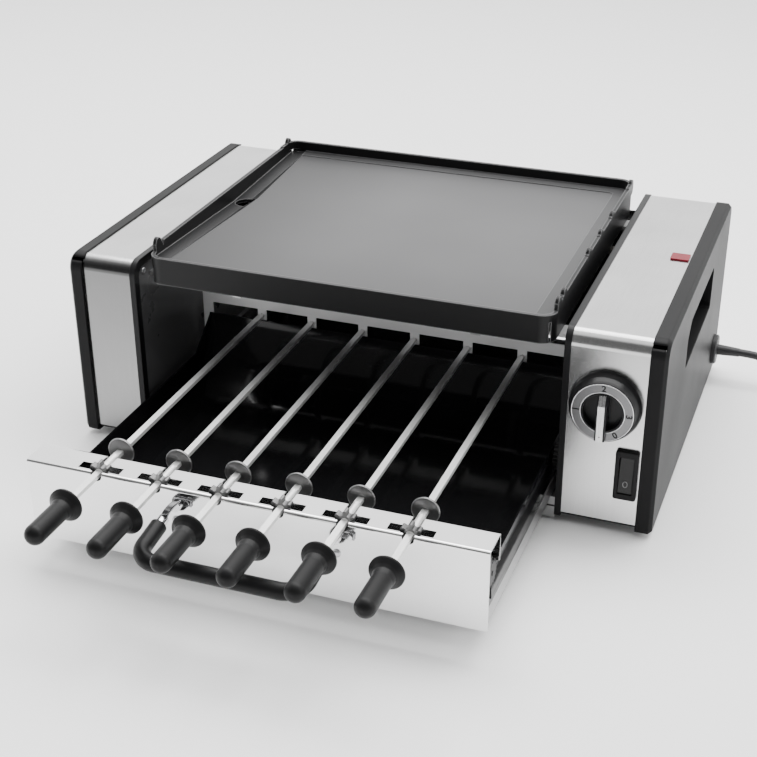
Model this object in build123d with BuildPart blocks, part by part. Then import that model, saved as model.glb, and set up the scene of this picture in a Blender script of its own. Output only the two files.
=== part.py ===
"""Table-top skewer grill: griddle pan on top, geared skewers on a pull-out drawer below.

Millimetres. +X is the user's right, +Y points from the user to the back, +Z is up.
The origin is on the table, under the middle of the standing grill with its drawer pulled out.
"""
import os
from math import atan2, cos, degrees, pi, radians, sin, sqrt, tan

from build123d import *

os.makedirs("parts", exist_ok=True)

# ---------------------------------------------------------------- driving dimensions
overall_width = 490.0
casing_depth = 308.0
casing_height = 165.0

left_casing_width = 43.0      # steel wrap only, without cap and trim
right_casing_width = 58.5
left_cap_thickness = 12.0
right_cap_thickness = 13.0
cap_wall = 2.5
cap_proud = 2.5               # cap stands out in front of and behind the steel
cap_top_proud = 1.0
cap_bottom_z = 4.0
cap_top_radius = 13.0
cap_bottom_radius = 4.0
cap_edge_chamfer = 2.8
trim_thickness = 5.0
trim_border = 7.0
trim_proud = 0.8
trim_bottom_z = 6.8
wrap_thickness = 1.0
wrap_bottom_z = 10.0
wrap_radius = 11.4
wall_thickness = 1.2
wall_recess = 1.0
base_cover_bottom_z = 8.0
base_cover_top_z = 9.8
foot_radius = 8.0
foot_inset = 22.0

recess_front = 96.0           # hand recess in each cap, from the casing front
recess_length = 124.0
recess_bottom_z = 100.0
recess_height = 38.0
recess_corner = 12.0
recess_floor = 3.0

rail_front = 36.0             # pressed slide ridge on each inner wall
rail_bottom_z = 34.0
rail_height = 6.0
rail_depth = 3.4
slide_gap = 0.5

drawer_travel = 177.3
panel_side_gap = 2.1
panel_top_z = 84.0
panel_bottom_z = 19.6
panel_depth = 25.7
panel_flange = 22.0
panel_bend = 2.2              # outer bend radius of the folded edges
sheet = 1.2

skewer_count = 6
skewer_end_margin = 56.9      # outer skewers to the ends of the drawer front
skewer_z = 81.8
skewer_bearing_radius = 2.95
notch_clearance = 1.35
star_thickness = 5.6
star_teeth = 6
star_tip_radius = 8.2
star_root_radius = 4.6
star_tooth_width = 2.9
slot_land = 14.1              # metal left between two skewer slots
slot_depth = 8.0
blade_width = 4.8
blade_thickness = 3.2
disc_radius = 10.5
disc_thickness = 1.0
disc_from_panel = 36.5
blade_end_from_panel = 284.0
tip_pin_radius = 1.5
tip_pin_length = 7.0
flange_from_panel = 40.0
flange_radius = 12.5
flange_thickness = 4.5
flange_rim = 1.5
grip_length = 42.0
grip_radius = 7.4
grip_dome = 7.0               # length of the rounded end
grip_flare = 2.2              # grip widens by this much into its flange
grip_flare_length = 6.0
grip_tip_flat = 1.5

worm_clearance = 0.4
worm_core_radius = 2.6
worm_panel_gap = 0.3          # worm thread to the inside of the panel's front
worm_turns = 3
worm_crest_width = 1.2
worm_flank_width = 2.0
worm_collar = 2.0             # plain core at each end of a worm
shaft_radius = 1.8
shaft_fit = 0.05

pinion_teeth = 8
wheel_teeth = 18
gear_module = 1.05
gear_width = 4.0
gear_addendum = 0.85
gear_dedendum = 1.25
wheel_step_y = 6.0            # transfer wheel axis behind the drive shaft axis
motor_mesh_angle = 45.0       # motor gear lies below and behind the transfer wheel

comb_top_z = 98.0
comb_strip_z = 87.5
comb_leg_width = 9.5
comb_leg_bottom_z = 20.3
comb_tab_width = 8.0
comb_tab_bottom_z = 77.0
comb_from_panel = 286.5
side_plate_height = 12.9
side_plate_inset = 2.0

tray_side_inset = 7.0         # from the panel's ends to the tray's outer walls
tray_floor_z = 22.0
tray_side_top_z = 52.0
tray_rear_top_z = 77.5
tray_front_gap = 3.0
tray_rear_gap = 2.0
tray_curve_radius = 62.0

handle_span = 122.0
handle_z = 57.0
handle_root_z = 63.0
handle_reach = 51.5
handle_root_gap = 8.0
handle_tube_radius = 4.0
handle_sleeve_radius = 6.2
handle_bend = 15.0
handle_sleeve_start = 16.0
strap_thickness = 2.0
strap_width = 5.0
strap_offset = 12.0

element_z = 138.0
element_radius = 3.6
element_bend = 24.0
element_first_row = 52.0
element_row_pitch = 58.0
element_wall_gap = 0.3
element_bar_thickness = 3.0
pan_rest_thickness = 3.0

pan_side_gap = 9.75
pan_front = 3.0               # pan's front face behind the casing front
pan_depth = 290.0
pan_bottom_z = 149.5
pan_front_top_z = 172.0
pan_side_top_z = 177.6
pan_back_top_z = 179.5
pan_wall = 3.2
pan_border_z = 171.0
pan_plate_z = 170.0
pan_floor_thickness = 4.0
pan_corner = 12.0
pan_border_width = 12.0
trough_width = 13.5
trough_end_z = 169.4
trough_mid_z = 164.5
trough_floor_thickness = 3.0
trough_end_bank = 1.0         # width of the sloped bank beside the trough, at its ends
trough_mid_bank = 10.0        # and beside the drain hole
drain_radius = 9.0
drain_inset = 2.0             # drain centre from the trough's inner edge
drain_from_front = 155.0

knob_from_cap = 29.6          # knob axis to the right cap's inner face
knob_z = 110.0
knob_base_radius = 27.5
knob_bezel_width = 4.3         # from the bezel's rim to the dial
dial_width = 7.2
knob_bezel_height = 14.0
knob_hollow_depth = 9.0
knob_bar_width = 7.6
knob_bar_height = 4.0
pointer_width = 5.0
pointer_thickness = 1.0
knob_clearance = 0.4
knob_shaft_radius = 3.0

switch_from_cap = 10.2
switch_z = 53.5
switch_width = 17.6
switch_height = 42.0
switch_proud = 3.6
rocker_width = 10.5
rocker_height = 31.0
rocker_clearance = 0.35
rocker_rest_tilt = 8.0

lamp_width = 15.0
lamp_depth = 13.0
lamp_from_front = 164.0

cord_exit_from_rear = 23.0
cord_exit_z = 30.0
gland_radius = 13.5
gland_thickness = 4.0
relief_length = 24.0
relief_root_radius = 5.0
cord_radius = 3.5

# ---------------------------------------------------------------- derived places
drawer_reach = drawer_travel + flange_from_panel + flange_thickness + grip_length
front_y = (drawer_reach - casing_depth) / 2
back_y = front_y + casing_depth
left_face_x = -overall_width / 2
right_face_x = overall_width / 2
left_wrap_x = left_face_x + left_cap_thickness
left_wrap_end_x = left_wrap_x + left_casing_width
left_wall_x = left_wrap_end_x + trim_thickness
right_wrap_end_x = right_face_x - right_cap_thickness
right_wrap_x = right_wrap_end_x - right_casing_width
right_wall_x = right_wrap_x - trim_thickness
cavity_x = (left_wall_x + right_wall_x) / 2
cavity_half = (right_wall_x - left_wall_x) / 2
panel_half = cavity_half - panel_side_gap
panel_y = front_y - drawer_travel
panel_rear_y = panel_y + panel_depth
comb_y = panel_y + comb_from_panel
reflector_y = comb_y + drawer_travel + 6.0
flange_y = panel_y - flange_from_panel
flange_root_y = flange_y - flange_thickness
grip_end_y = flange_root_y - grip_length
skewer_pitch = 2 * (panel_half - skewer_end_margin) / (skewer_count - 1)
slot_width = skewer_pitch - slot_land
skewer_x = [cavity_x + (i - (skewer_count - 1) / 2) * skewer_pitch for i in range(skewer_count)]
star_root_gap = star_root_radius + worm_clearance
worm_axis_drop = star_tip_radius + worm_clearance + worm_core_radius
worm_tip_radius = worm_axis_drop - star_root_gap
star_y = panel_y + sheet + worm_panel_gap + worm_tip_radius
worm_z = skewer_z - worm_axis_drop
star_pitch_radius = (star_tip_radius + star_root_radius) / 2
worm_pitch = 2 * pi * star_pitch_radius / star_teeth
worm_length = worm_turns * worm_pitch
pinion_radius = gear_module * pinion_teeth / 2
wheel_radius = gear_module * wheel_teeth / 2
wheel_y = star_y + wheel_step_y
wheel_z = worm_z - sqrt((pinion_radius + wheel_radius) ** 2 - wheel_step_y**2)
gear_x = cavity_x + panel_half - 5.6
motor_gear_y = wheel_y + drawer_travel + 2 * wheel_radius * cos(radians(motor_mesh_angle))
motor_gear_z = wheel_z - 2 * wheel_radius * sin(radians(motor_mesh_angle))
element_rows = [front_y + element_first_row + element_row_pitch * i for i in range(4)]
knob_x = right_wrap_end_x - knob_from_cap
knob_face_radius = knob_base_radius - knob_bezel_width
knob_inner_radius = knob_face_radius - dial_width
switch_x = right_wrap_end_x - switch_from_cap
pan_half = cavity_half - pan_side_gap
pan_y = front_y + pan_front
cord_y = back_y - cord_exit_from_rear


def write(part, label):
    """Label one finished piece and write its STEP file."""
    part.label = label
    export_step(part, "parts/" + label + ".step")


# ---------------------------------------------------------------- side casings
def side_cap(inner_x, outer_x):
    """Moulded end cover: a shallow rounded tray, open inwards, with a hand recess outside."""
    out = 1 if outer_x > inner_x else -1
    thickness = abs(outer_x - inner_x)
    low_y = front_y - cap_proud
    depth = casing_depth + 2 * cap_proud
    top_z = casing_height + cap_top_proud
    mid_y = low_y + depth / 2
    mid_z = (top_z + cap_bottom_z) / 2
    with BuildPart() as cap:
        with BuildSketch(Plane.YZ.offset(inner_x)) as outline:
            with Locations((mid_y, mid_z)):
                Rectangle(depth, top_z - cap_bottom_z)
            fillet(outline.vertices().group_by(Axis.Y)[-1], cap_top_radius)
            fillet(outline.vertices().group_by(Axis.Y)[0], cap_bottom_radius)
        extrude(amount=out * thickness)
        chamfer(cap.faces().sort_by(Axis.X)[-1 if out > 0 else 0].edges(), cap_edge_chamfer)
        with BuildSketch(Plane.YZ.offset(inner_x)):
            with Locations((mid_y, mid_z)):
                RectangleRounded(depth - 2 * cap_wall, top_z - cap_bottom_z - 2 * cap_wall, cap_bottom_radius)
            with Locations((front_y + recess_front - cap_wall, recess_bottom_z - cap_wall)):
                Rectangle(recess_length + 2 * cap_wall, recess_height + 2 * cap_wall,
                          align=(Align.MIN, Align.MIN), mode=Mode.SUBTRACT)
        extrude(amount=out * (thickness - cap_wall), mode=Mode.SUBTRACT)
        with BuildSketch(Plane.YZ.offset(inner_x + out * recess_floor)) as hollow:
            with Locations((front_y + recess_front, recess_bottom_z)):
                Rectangle(recess_length, recess_height, align=(Align.MIN, Align.MIN))
            chamfer(hollow.vertices().group_by(Axis.Y)[-1].sort_by(Axis.X)[0], recess_corner)
            fillet(hollow.vertices(), cap_bottom_radius)
        extrude(amount=out * thickness, mode=Mode.SUBTRACT)
        if out > 0:
            with BuildSketch(Plane.YZ.offset(outer_x)):
                with Locations((cord_y, cord_exit_z)):
                    Circle(relief_root_radius + shaft_fit)
            extrude(amount=-thickness, mode=Mode.SUBTRACT)
    return cap.part


write(side_cap(left_wrap_x, left_face_x), "left_end_cap")
write(side_cap(right_wrap_end_x, right_face_x), "right_end_cap")


def steel_wrap(low_x, width):
    """One strip of brushed sheet bent over the front, top and back of a casing."""
    mid_y = front_y + casing_depth / 2
    height = casing_height - wrap_bottom_z
    with BuildPart() as wrap:
        with BuildSketch(Plane.YZ.offset(low_x)) as section:
            with Locations((mid_y, wrap_bottom_z + height / 2)):
                Rectangle(casing_depth, height)
            fillet(section.vertices().group_by(Axis.Y)[-1], wrap_radius)
            with Locations((mid_y, wrap_bottom_z + (height - wrap_thickness) / 2)):
                Rectangle(casing_depth - 2 * wrap_thickness, height - wrap_thickness, mode=Mode.PRIVATE)
            with BuildSketch(Plane.YZ.offset(low_x), mode=Mode.PRIVATE) as inside:
                with Locations((mid_y, wrap_bottom_z + (height - wrap_thickness) / 2)):
                    Rectangle(casing_depth - 2 * wrap_thickness, height - wrap_thickness)
                fillet(inside.vertices().group_by(Axis.Y)[-1], wrap_radius - wrap_thickness)
            add(inside.sketch_local, mode=Mode.SUBTRACT)
        extrude(amount=width)
    return wrap.part


write(steel_wrap(left_wrap_x, left_casing_width), "left_steel_wrap")

with BuildPart() as right_steel_wrap:
    add(steel_wrap(right_wrap_x, right_casing_width))
    with BuildSketch(Plane.XZ.offset(-front_y)):
        with Locations((knob_x, knob_z)):
            Circle(knob_shaft_radius + 2 * knob_clearance)
        with Locations((switch_x, switch_z)):
            Rectangle(switch_width - 4, switch_height - 6)
    extrude(amount=3 * wrap_thickness, both=True, mode=Mode.SUBTRACT)
    with BuildSketch(Plane.XY.offset(casing_height)):
        with Locations((right_wrap_end_x - lamp_width / 2 - 1, front_y + lamp_from_front)):
            Rectangle(lamp_width - 2, lamp_depth - 2)
    extrude(amount=3 * wrap_thickness, both=True, mode=Mode.SUBTRACT)
write(right_steel_wrap.part, "right_steel_wrap")


def inner_trim(low_x):
    """Moulded frame round the cavity side of a casing."""
    top_z = casing_height + trim_proud
    mid_y = front_y + casing_depth / 2
    mid_z = (top_z + trim_bottom_z) / 2
    depth = casing_depth + 2 * trim_proud
    height = top_z - trim_bottom_z
    with BuildPart() as trim:
        with BuildSketch(Plane.YZ.offset(low_x)) as outline:
            with Locations((mid_y, mid_z)):
                Rectangle(depth, height)
            fillet(outline.vertices().group_by(Axis.Y)[-1], wrap_radius + trim_proud)
            with Locations((mid_y, mid_z)):
                RectangleRounded(depth - 2 * trim_border, height - 2 * trim_border,
                                 wrap_radius - trim_border / 2, mode=Mode.SUBTRACT)
        extrude(amount=trim_thickness)
    return trim.part


write(inner_trim(left_wrap_end_x), "left_inner_trim")
write(inner_trim(right_wall_x), "right_inner_trim")

wall_depth = casing_depth + 2 * trim_proud - 2 * trim_border
wall_height = casing_height + trim_proud - trim_bottom_z - 2 * trim_border
wall_mid_z = (casing_height + trim_proud + trim_bottom_z) / 2


def inner_wall(face_x, into_cavity):
    """Dark enamelled sheet closing a casing, with a pressed ridge that guides the drawer."""
    plane_x = face_x - into_cavity * wall_recess
    with BuildPart() as wall:
        with BuildSketch(Plane.YZ.offset(plane_x)):
            with Locations((front_y + casing_depth / 2, wall_mid_z)):
                RectangleRounded(wall_depth, wall_height, wrap_radius - trim_border / 2)
        extrude(amount=-into_cavity * wall_thickness)
        rail_length = reflector_y - 1.5 - front_y - rail_front
        with BuildSketch(Plane.YZ.offset(plane_x)):
            with Locations((front_y + rail_front + rail_length / 2, rail_bottom_z + rail_height / 2)):
                SlotOverall(rail_length, rail_height)
        extrude(amount=into_cavity * (rail_depth + wall_recess))
        if into_cavity < 0:
            with BuildSketch(Plane.YZ.offset(plane_x)):
                with Locations((motor_gear_y, motor_gear_z)):
                    Circle(shaft_radius + 1)
                with Locations((element_rows[0], element_z), (element_rows[3], element_z)):
                    Circle(element_radius + element_wall_gap)
            extrude(amount=3 * wall_thickness, both=True, mode=Mode.SUBTRACT)
    return wall.part


write(inner_wall(left_wall_x, 1), "left_inner_wall")
write(inner_wall(right_wall_x, -1), "right_inner_wall")

with BuildPart() as base_covers:
    cover_depth = casing_depth - 2 * wrap_thickness
    cover_y = front_y + wrap_thickness
    with BuildSketch(Plane.XY.offset(base_cover_bottom_z)):
        with Locations((left_wrap_x, cover_y)):
            Rectangle(left_casing_width, cover_depth, align=(Align.MIN, Align.MIN))
        with Locations((right_wrap_x, cover_y)):
            Rectangle(right_casing_width, cover_depth, align=(Align.MIN, Align.MIN))
    extrude(amount=base_cover_top_z - base_cover_bottom_z)
write(base_covers.part, "base_covers")

foot_rows = (front_y + foot_inset, back_y - foot_inset)
with BuildPart() as feet:
    with BuildSketch(Plane.XY):
        for foot_y in foot_rows:
            left_foot_x = left_wrap_x + left_casing_width / 2
            right_foot_x = right_wrap_x + right_casing_width / 2
            with Locations((left_foot_x, foot_y), (right_foot_x, foot_y)):
                Circle(foot_radius)
    extrude(amount=base_cover_bottom_z)
    chamfer(feet.faces().group_by(Axis.Z)[0].edges(), 1.2)
write(feet.part, "rubber_feet")

# ---------------------------------------------------------------- cavity
plate_z = 9.0
ledge_width = 8.0
ledge_top_z = comb_leg_bottom_z - 0.3
with BuildPart() as floor_plate:
    floor_depth = casing_depth - 2 * trim_border
    plate_y = front_y + trim_border - 5
    with BuildSketch(Plane.XY.offset(plate_z)):
        with Locations((cavity_x, plate_y)):
            Rectangle(2 * cavity_half, floor_depth, align=(Align.CENTER, Align.MIN))
    extrude(amount=sheet)
    with BuildSketch(Plane.XY.offset(plate_z + sheet)):
        for side in (-1, 1):
            with Locations((cavity_x + side * (cavity_half - ledge_width / 2), plate_y + sheet)):
                Rectangle(ledge_width, floor_depth - 2 * sheet, align=(Align.CENTER, Align.MIN))
    extrude(amount=ledge_top_z - plate_z - sheet)
    with BuildSketch(Plane.XY.offset(plate_z - 7)):
        with Locations((cavity_x, plate_y)):
            Rectangle(2 * cavity_half, sheet, align=(Align.CENTER, Align.MIN))
    extrude(amount=10)
write(floor_plate.part, "floor_plate")

rear_panel_y = back_y - 4.0
with BuildPart() as rear_panel:
    rear_z = plate_z + 3
    rear_top_z = pan_bottom_z - 3
    with BuildSketch(Plane.XZ.offset(-rear_panel_y)):
        with Locations((cavity_x, rear_z)):
            Rectangle(2 * cavity_half, rear_top_z - rear_z, align=(Align.CENTER, Align.MIN))
        with Locations((cavity_x, rear_z + (rear_top_z - rear_z) * 0.72)):
            with GridLocations(22, 12, 12, 2):
                SlotOverall(14, 4, mode=Mode.SUBTRACT)
    extrude(amount=-sheet)
write(rear_panel.part, "rear_panel")

# Reflector: enamelled sheet in front of the rear panel, curling forward under the pan.
with BuildPart() as reflector:
    with BuildSketch(Plane.YZ.offset(cavity_x - cavity_half + 1)) as curl:
        with BuildLine() as spine:
            low = (reflector_y, ledge_top_z + 1.5)
            bend = (reflector_y, pan_bottom_z - 45)
            Line(low, bend)
            JernArc(bend, (0, 1), 38, 75)
            offset(amount=sheet / 2, side=Side.BOTH)
        make_face()
    extrude(amount=2 * cavity_half - 2)
write(reflector.part, "heat_reflector")

element_left_x = cavity_x - cavity_half + 26
element_right_x = cavity_x + cavity_half - 34
with BuildPart() as heating_element:
    with BuildLine() as element_path:
        FilletPolyline(
            (right_wall_x + 8, element_rows[0], element_z),
            (element_left_x, element_rows[0], element_z),
            (element_left_x, element_rows[1], element_z),
            (element_right_x, element_rows[1], element_z),
            (element_right_x, element_rows[2], element_z),
            (element_left_x, element_rows[2], element_z),
            (element_left_x, element_rows[3], element_z),
            (right_wall_x + 8, element_rows[3], element_z),
            radius=element_bend,
        )
    with BuildSketch(Plane(origin=element_path.line @ 0, z_dir=element_path.line % 0)):
        Circle(element_radius)
    sweep()
write(heating_element.part, "heating_element")

# Cavity brackets: two cross bars under the element, and four tabs that the pan's skirt stands on.
rest_ys = (pan_y + 30, pan_y + pan_depth - 30)
with BuildPart() as cavity_brackets:
    bar_depth = element_rows[3] - element_rows[0] + 30
    with BuildSketch(Plane.XY.offset(element_z - element_radius - element_bar_thickness)):
        for bar_x in (element_left_x + 45, element_right_x - 45):
            with Locations((bar_x, (element_rows[0] + element_rows[3]) / 2)):
                Rectangle(8, bar_depth)
    extrude(amount=element_bar_thickness)
    with BuildSketch(Plane.XY.offset(pan_bottom_z - pan_rest_thickness)):
        for side in (-1, 1):
            for rest_y in rest_ys:
                with Locations((cavity_x + side * (cavity_half + wall_recess), rest_y)):
                    Rectangle(pan_side_gap + 8 + wall_recess, 16,
                              align=(Align.MAX if side > 0 else Align.MIN, Align.CENTER))
    extrude(amount=pan_rest_thickness)
write(cavity_brackets.part, "cavity_brackets")


# ---------------------------------------------------------------- griddle pan
def wall_section(plane_x, width, humps, notches):
    """Side wall of the pan, with rounded humps and V notches along its top edge."""
    with BuildPart() as wall:
        with BuildSketch(Plane.YZ.offset(plane_x)):
            with BuildLine():
                Polyline(
                    (pan_y + pan_corner, pan_bottom_z),
                    (pan_y + pan_corner, pan_side_top_z),
                    (pan_y + pan_depth - pan_corner, pan_side_top_z + 1),
                    (pan_y + pan_depth - pan_corner, pan_bottom_z),
                    close=True,
                )
            make_face()
            for hump_y, hump_height in humps:
                with Locations((pan_y + hump_y, pan_side_top_z - 2)):
                    Ellipse(5.0, hump_height + 2)
            for notch_y, notch_depth in notches:
                with Locations((pan_y + notch_y, pan_side_top_z + 3)):
                    Triangle(a=6, b=notch_depth + 6, c=notch_depth + 6, rotation=180, mode=Mode.SUBTRACT)
        extrude(amount=width)
    return wall.part


pan_left_x = cavity_x - pan_half
pan_right_x = cavity_x + pan_half
pan_back_y = pan_y + pan_depth
pan_mid_y = pan_y + pan_depth / 2
plate_edge_x = pan_left_x + pan_wall + trough_width
drain_y = pan_y + drain_from_front
drain_x = plate_edge_x - drain_inset
with BuildPart() as trough:
    # the grease trough: its floor falls from both ends to the drain hole, with a sloped bank beside it
    with BuildSketch(Plane.XY.offset(pan_plate_z)):
        with Locations((pan_left_x + pan_wall, pan_y + pan_wall)):
            Rectangle(trough_width + trough_end_bank, pan_depth - 2 * pan_wall - pan_border_width,
                      align=(Align.MIN, Align.MIN))
    extrude(amount=pan_border_z - pan_plate_z)
    for end_y in (pan_y + pan_wall, pan_back_y - pan_wall):
        bank = []
        stations = ((end_y, trough_end_z, trough_end_bank), (drain_y, trough_mid_z, trough_mid_bank))
        for station_y, station_z, bank_width in stations:
            with BuildSketch(Plane.XZ.offset(-station_y)) as section:
                with BuildLine():
                    Polyline(
                        (pan_left_x + pan_wall, station_z),
                        (plate_edge_x, station_z),
                        (plate_edge_x + bank_width, pan_plate_z),
                        (plate_edge_x + bank_width, pan_border_z + 1),
                        (pan_left_x + pan_wall, pan_border_z + 1),
                        close=True,
                    )
                make_face()
            bank.append(section.sketch)
        loft(sections=bank, ruled=True)
    with BuildSketch(Plane.XY.offset(trough_mid_z - 1)):
        with Locations((cavity_x, pan_mid_y)):
            RectangleRounded(2 * (pan_half - pan_wall), pan_depth - 2 * pan_wall, pan_corner - pan_wall)
    extrude(amount=pan_border_z + 2 - trough_mid_z, mode=Mode.INTERSECT)

with BuildPart() as griddle_pan:
    with BuildSketch(Plane.XY.offset(pan_bottom_z)):
        with Locations((cavity_x, pan_mid_y)):
            RectangleRounded(2 * pan_half, pan_depth, pan_corner)
    extrude(amount=pan_front_top_z - pan_bottom_z)
    with BuildSketch(Plane.XY.offset(pan_front_top_z)):
        with Locations((cavity_x, pan_mid_y)):
            RectangleRounded(2 * pan_half, pan_depth, pan_corner)
        with Locations((cavity_x, pan_mid_y)):
            RectangleRounded(2 * (pan_half - pan_wall), pan_depth - 2 * pan_wall, pan_corner - pan_wall,
                             mode=Mode.SUBTRACT)
        with Locations((cavity_x, pan_y)):
            Rectangle(2 * pan_half, 2 * pan_depth - 4 * pan_corner, mode=Mode.SUBTRACT)
    extrude(amount=pan_back_top_z - pan_front_top_z)
    add(wall_section(pan_left_x, pan_wall, ((17, 5), (281, 6)), ((24, 5), (270, 5))))
    add(wall_section(pan_right_x - pan_wall, pan_wall,
                     ((17, 4), (34, 4), (116, 4), (159, 4), (202, 4), (281, 5)),
                     ((25, 4), (108, 4), (151, 4), (194, 4))))
    with BuildSketch(Plane.XY.offset(pan_border_z)):
        with Locations((cavity_x, pan_mid_y)):
            RectangleRounded(2 * (pan_half - pan_wall), pan_depth - 2 * pan_wall, pan_corner - pan_wall)
    extrude(amount=pan_back_top_z - pan_border_z, mode=Mode.SUBTRACT)
    with BuildSketch(Plane.XY.offset(pan_plate_z)):
        with Locations((plate_edge_x, pan_y + pan_wall)):
            RectangleRounded(2 * pan_half - 2 * pan_wall - trough_width - pan_border_width,
                             pan_depth - 2 * pan_wall - pan_border_width, 5, align=(Align.MIN, Align.MIN))
    extrude(amount=pan_border_z - pan_plate_z, mode=Mode.SUBTRACT)
    add(trough.part, mode=Mode.SUBTRACT)
    # underside hollow, shallower below the trough
    hollow_top_z = pan_plate_z - pan_floor_thickness
    trough_under_x = plate_edge_x + trough_mid_bank
    with BuildSketch(Plane.XY.offset(pan_bottom_z)):
        with Locations((pan_right_x - pan_wall, pan_mid_y)):
            Rectangle(pan_right_x - pan_wall - trough_under_x, pan_depth - 2 * pan_wall,
                      align=(Align.MAX, Align.CENTER))
    extrude(amount=hollow_top_z - pan_bottom_z, mode=Mode.SUBTRACT)
    with BuildSketch(Plane.XY.offset(pan_bottom_z)):
        with Locations((pan_left_x + pan_wall, pan_mid_y)):
            Rectangle(trough_under_x - pan_left_x - pan_wall, pan_depth - 2 * pan_wall,
                      align=(Align.MIN, Align.CENTER))
    extrude(amount=trough_mid_z - trough_floor_thickness - pan_bottom_z, mode=Mode.SUBTRACT)
    with BuildSketch(Plane.XY.offset(pan_bottom_z)):
        with Locations((drain_x, drain_y)):
            Circle(drain_radius)
    extrude(amount=pan_border_z - pan_bottom_z, mode=Mode.SUBTRACT)
write(griddle_pan.part, "griddle_pan")

# ---------------------------------------------------------------- drawer
with BuildPart() as drawer_front:
    with BuildSketch(Plane.YZ.offset(cavity_x - panel_half)):
        with BuildLine():
            Polyline(
                (panel_y, panel_bottom_z),
                (panel_y, panel_top_z),
                (panel_rear_y, panel_top_z),
                (panel_rear_y, panel_top_z - panel_flange),
                (panel_rear_y - sheet, panel_top_z - panel_flange),
                (panel_rear_y - sheet, panel_top_z - sheet),
                (panel_y + sheet, panel_top_z - sheet),
                (panel_y + sheet, panel_bottom_z),
                close=True,
            )
        make_face()
    extrude(amount=2 * panel_half)
    bends = drawer_front.edges().filter_by(Axis.X)
    fillet(bends.filter_by_position(Axis.Z, panel_top_z - 0.01, panel_top_z + 0.01), panel_bend)
    inner_bends = drawer_front.edges().filter_by(Axis.X)
    fillet(inner_bends.filter_by_position(Axis.Z, panel_top_z - sheet - 0.01, panel_top_z - sheet + 0.01),
           panel_bend - sheet)
    notch_radius = skewer_bearing_radius + notch_clearance
    with BuildSketch(Plane.XZ.offset(-panel_rear_y - 1)):
        for x in skewer_x:
            with Locations((x, skewer_z)):
                Circle(notch_radius)
                Rectangle(2 * notch_radius, panel_top_z - skewer_z + 1, align=(Align.CENTER, Align.MIN))
    extrude(amount=panel_depth + 2, mode=Mode.SUBTRACT)
    with BuildSketch(Plane.XY.offset(panel_top_z - 2 * sheet)):
        for x in skewer_x:
            with Locations((x, star_y)):
                Rectangle(slot_width, slot_depth)
    extrude(amount=3 * sheet, mode=Mode.SUBTRACT)
write(drawer_front.part, "drawer_front")

with BuildPart() as rear_comb:
    with BuildSketch(Plane.XZ.offset(-comb_y)):
        with Locations((cavity_x, comb_strip_z)):
            Rectangle(2 * panel_half, comb_top_z - comb_strip_z, align=(Align.CENTER, Align.MIN))
        for side in (-1, 1):
            with Locations((cavity_x + side * panel_half, comb_leg_bottom_z)):
                Rectangle(comb_leg_width, comb_top_z - comb_leg_bottom_z,
                          align=(Align.MAX if side > 0 else Align.MIN, Align.MIN))
            with Locations((cavity_x + side * panel_half, rail_bottom_z + rail_height / 2)):
                Rectangle(2 * (rail_depth - panel_side_gap + slide_gap), rail_height + 2 * slide_gap,
                          mode=Mode.SUBTRACT)
        for x in skewer_x:
            with Locations((x, comb_tab_bottom_z)):
                Rectangle(comb_tab_width, comb_strip_z - comb_tab_bottom_z, align=(Align.CENTER, Align.MIN))
            with Locations((x, skewer_z)):
                Circle(tip_pin_radius + shaft_fit + 0.25, mode=Mode.SUBTRACT)
    extrude(amount=-sheet)
write(rear_comb.part, "rear_comb")

side_plate_x = panel_half - side_plate_inset
with BuildPart() as side_plates:
    with BuildSketch(Plane.XY.offset(comb_leg_bottom_z)):
        for side in (-1, 1):
            with Locations((cavity_x + side * side_plate_x, panel_y + sheet)):
                Rectangle(sheet, comb_y - panel_y - sheet,
                          align=(Align.MAX if side > 0 else Align.MIN, Align.MIN))
    extrude(amount=side_plate_height)
write(side_plates.part, "side_plates")

tray_half = panel_half - tray_side_inset
tray_front_y = panel_rear_y + tray_front_gap
tray_rear_y = comb_y - tray_rear_gap
with BuildPart() as drip_tray:
    curve_start_y = tray_rear_y - tray_curve_radius
    with BuildSketch(Plane.YZ.offset(cavity_x - tray_half)) as tray_section:
        with BuildLine() as tray_line:
            front_top = (tray_front_y, tray_side_top_z)
            front_low = (tray_front_y + 6, tray_floor_z)
            rear_low = (curve_start_y, tray_floor_z)
            Polyline(front_top, front_low, rear_low)
            rear_top = (tray_rear_y, tray_rear_top_z)
            ThreePointArc(rear_low, (curve_start_y + tray_curve_radius * 0.72, tray_floor_z + 20.0), rear_top)
            offset(amount=sheet / 2, side=Side.BOTH)
        make_face()
    extrude(amount=2 * tray_half)
    with BuildSketch(Plane.YZ.offset(cavity_x - tray_half)) as tray_side:
        with BuildLine():
            Polyline(
                (tray_front_y, tray_side_top_z),
                (tray_front_y + 6, tray_floor_z),
                (curve_start_y, tray_floor_z),
            )
            ThreePointArc((curve_start_y, tray_floor_z),
                          (curve_start_y + tray_curve_radius * 0.72, tray_floor_z + 20.0),
                          (tray_rear_y, tray_rear_top_z))
            Polyline((tray_rear_y, tray_rear_top_z), (curve_start_y + 30, tray_side_top_z),
                     (tray_front_y, tray_side_top_z))
        make_face()
    extrude(amount=sheet)
    mirror(about=Plane.YZ.offset(cavity_x))
write(drip_tray.part, "drip_tray")

# ---------------------------------------------------------------- drawer handle
handle_left_x = cavity_x - handle_span / 2
handle_right_x = cavity_x + handle_span / 2
handle_root_y = panel_y - handle_root_gap
handle_bar_y = panel_y - handle_reach


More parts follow.
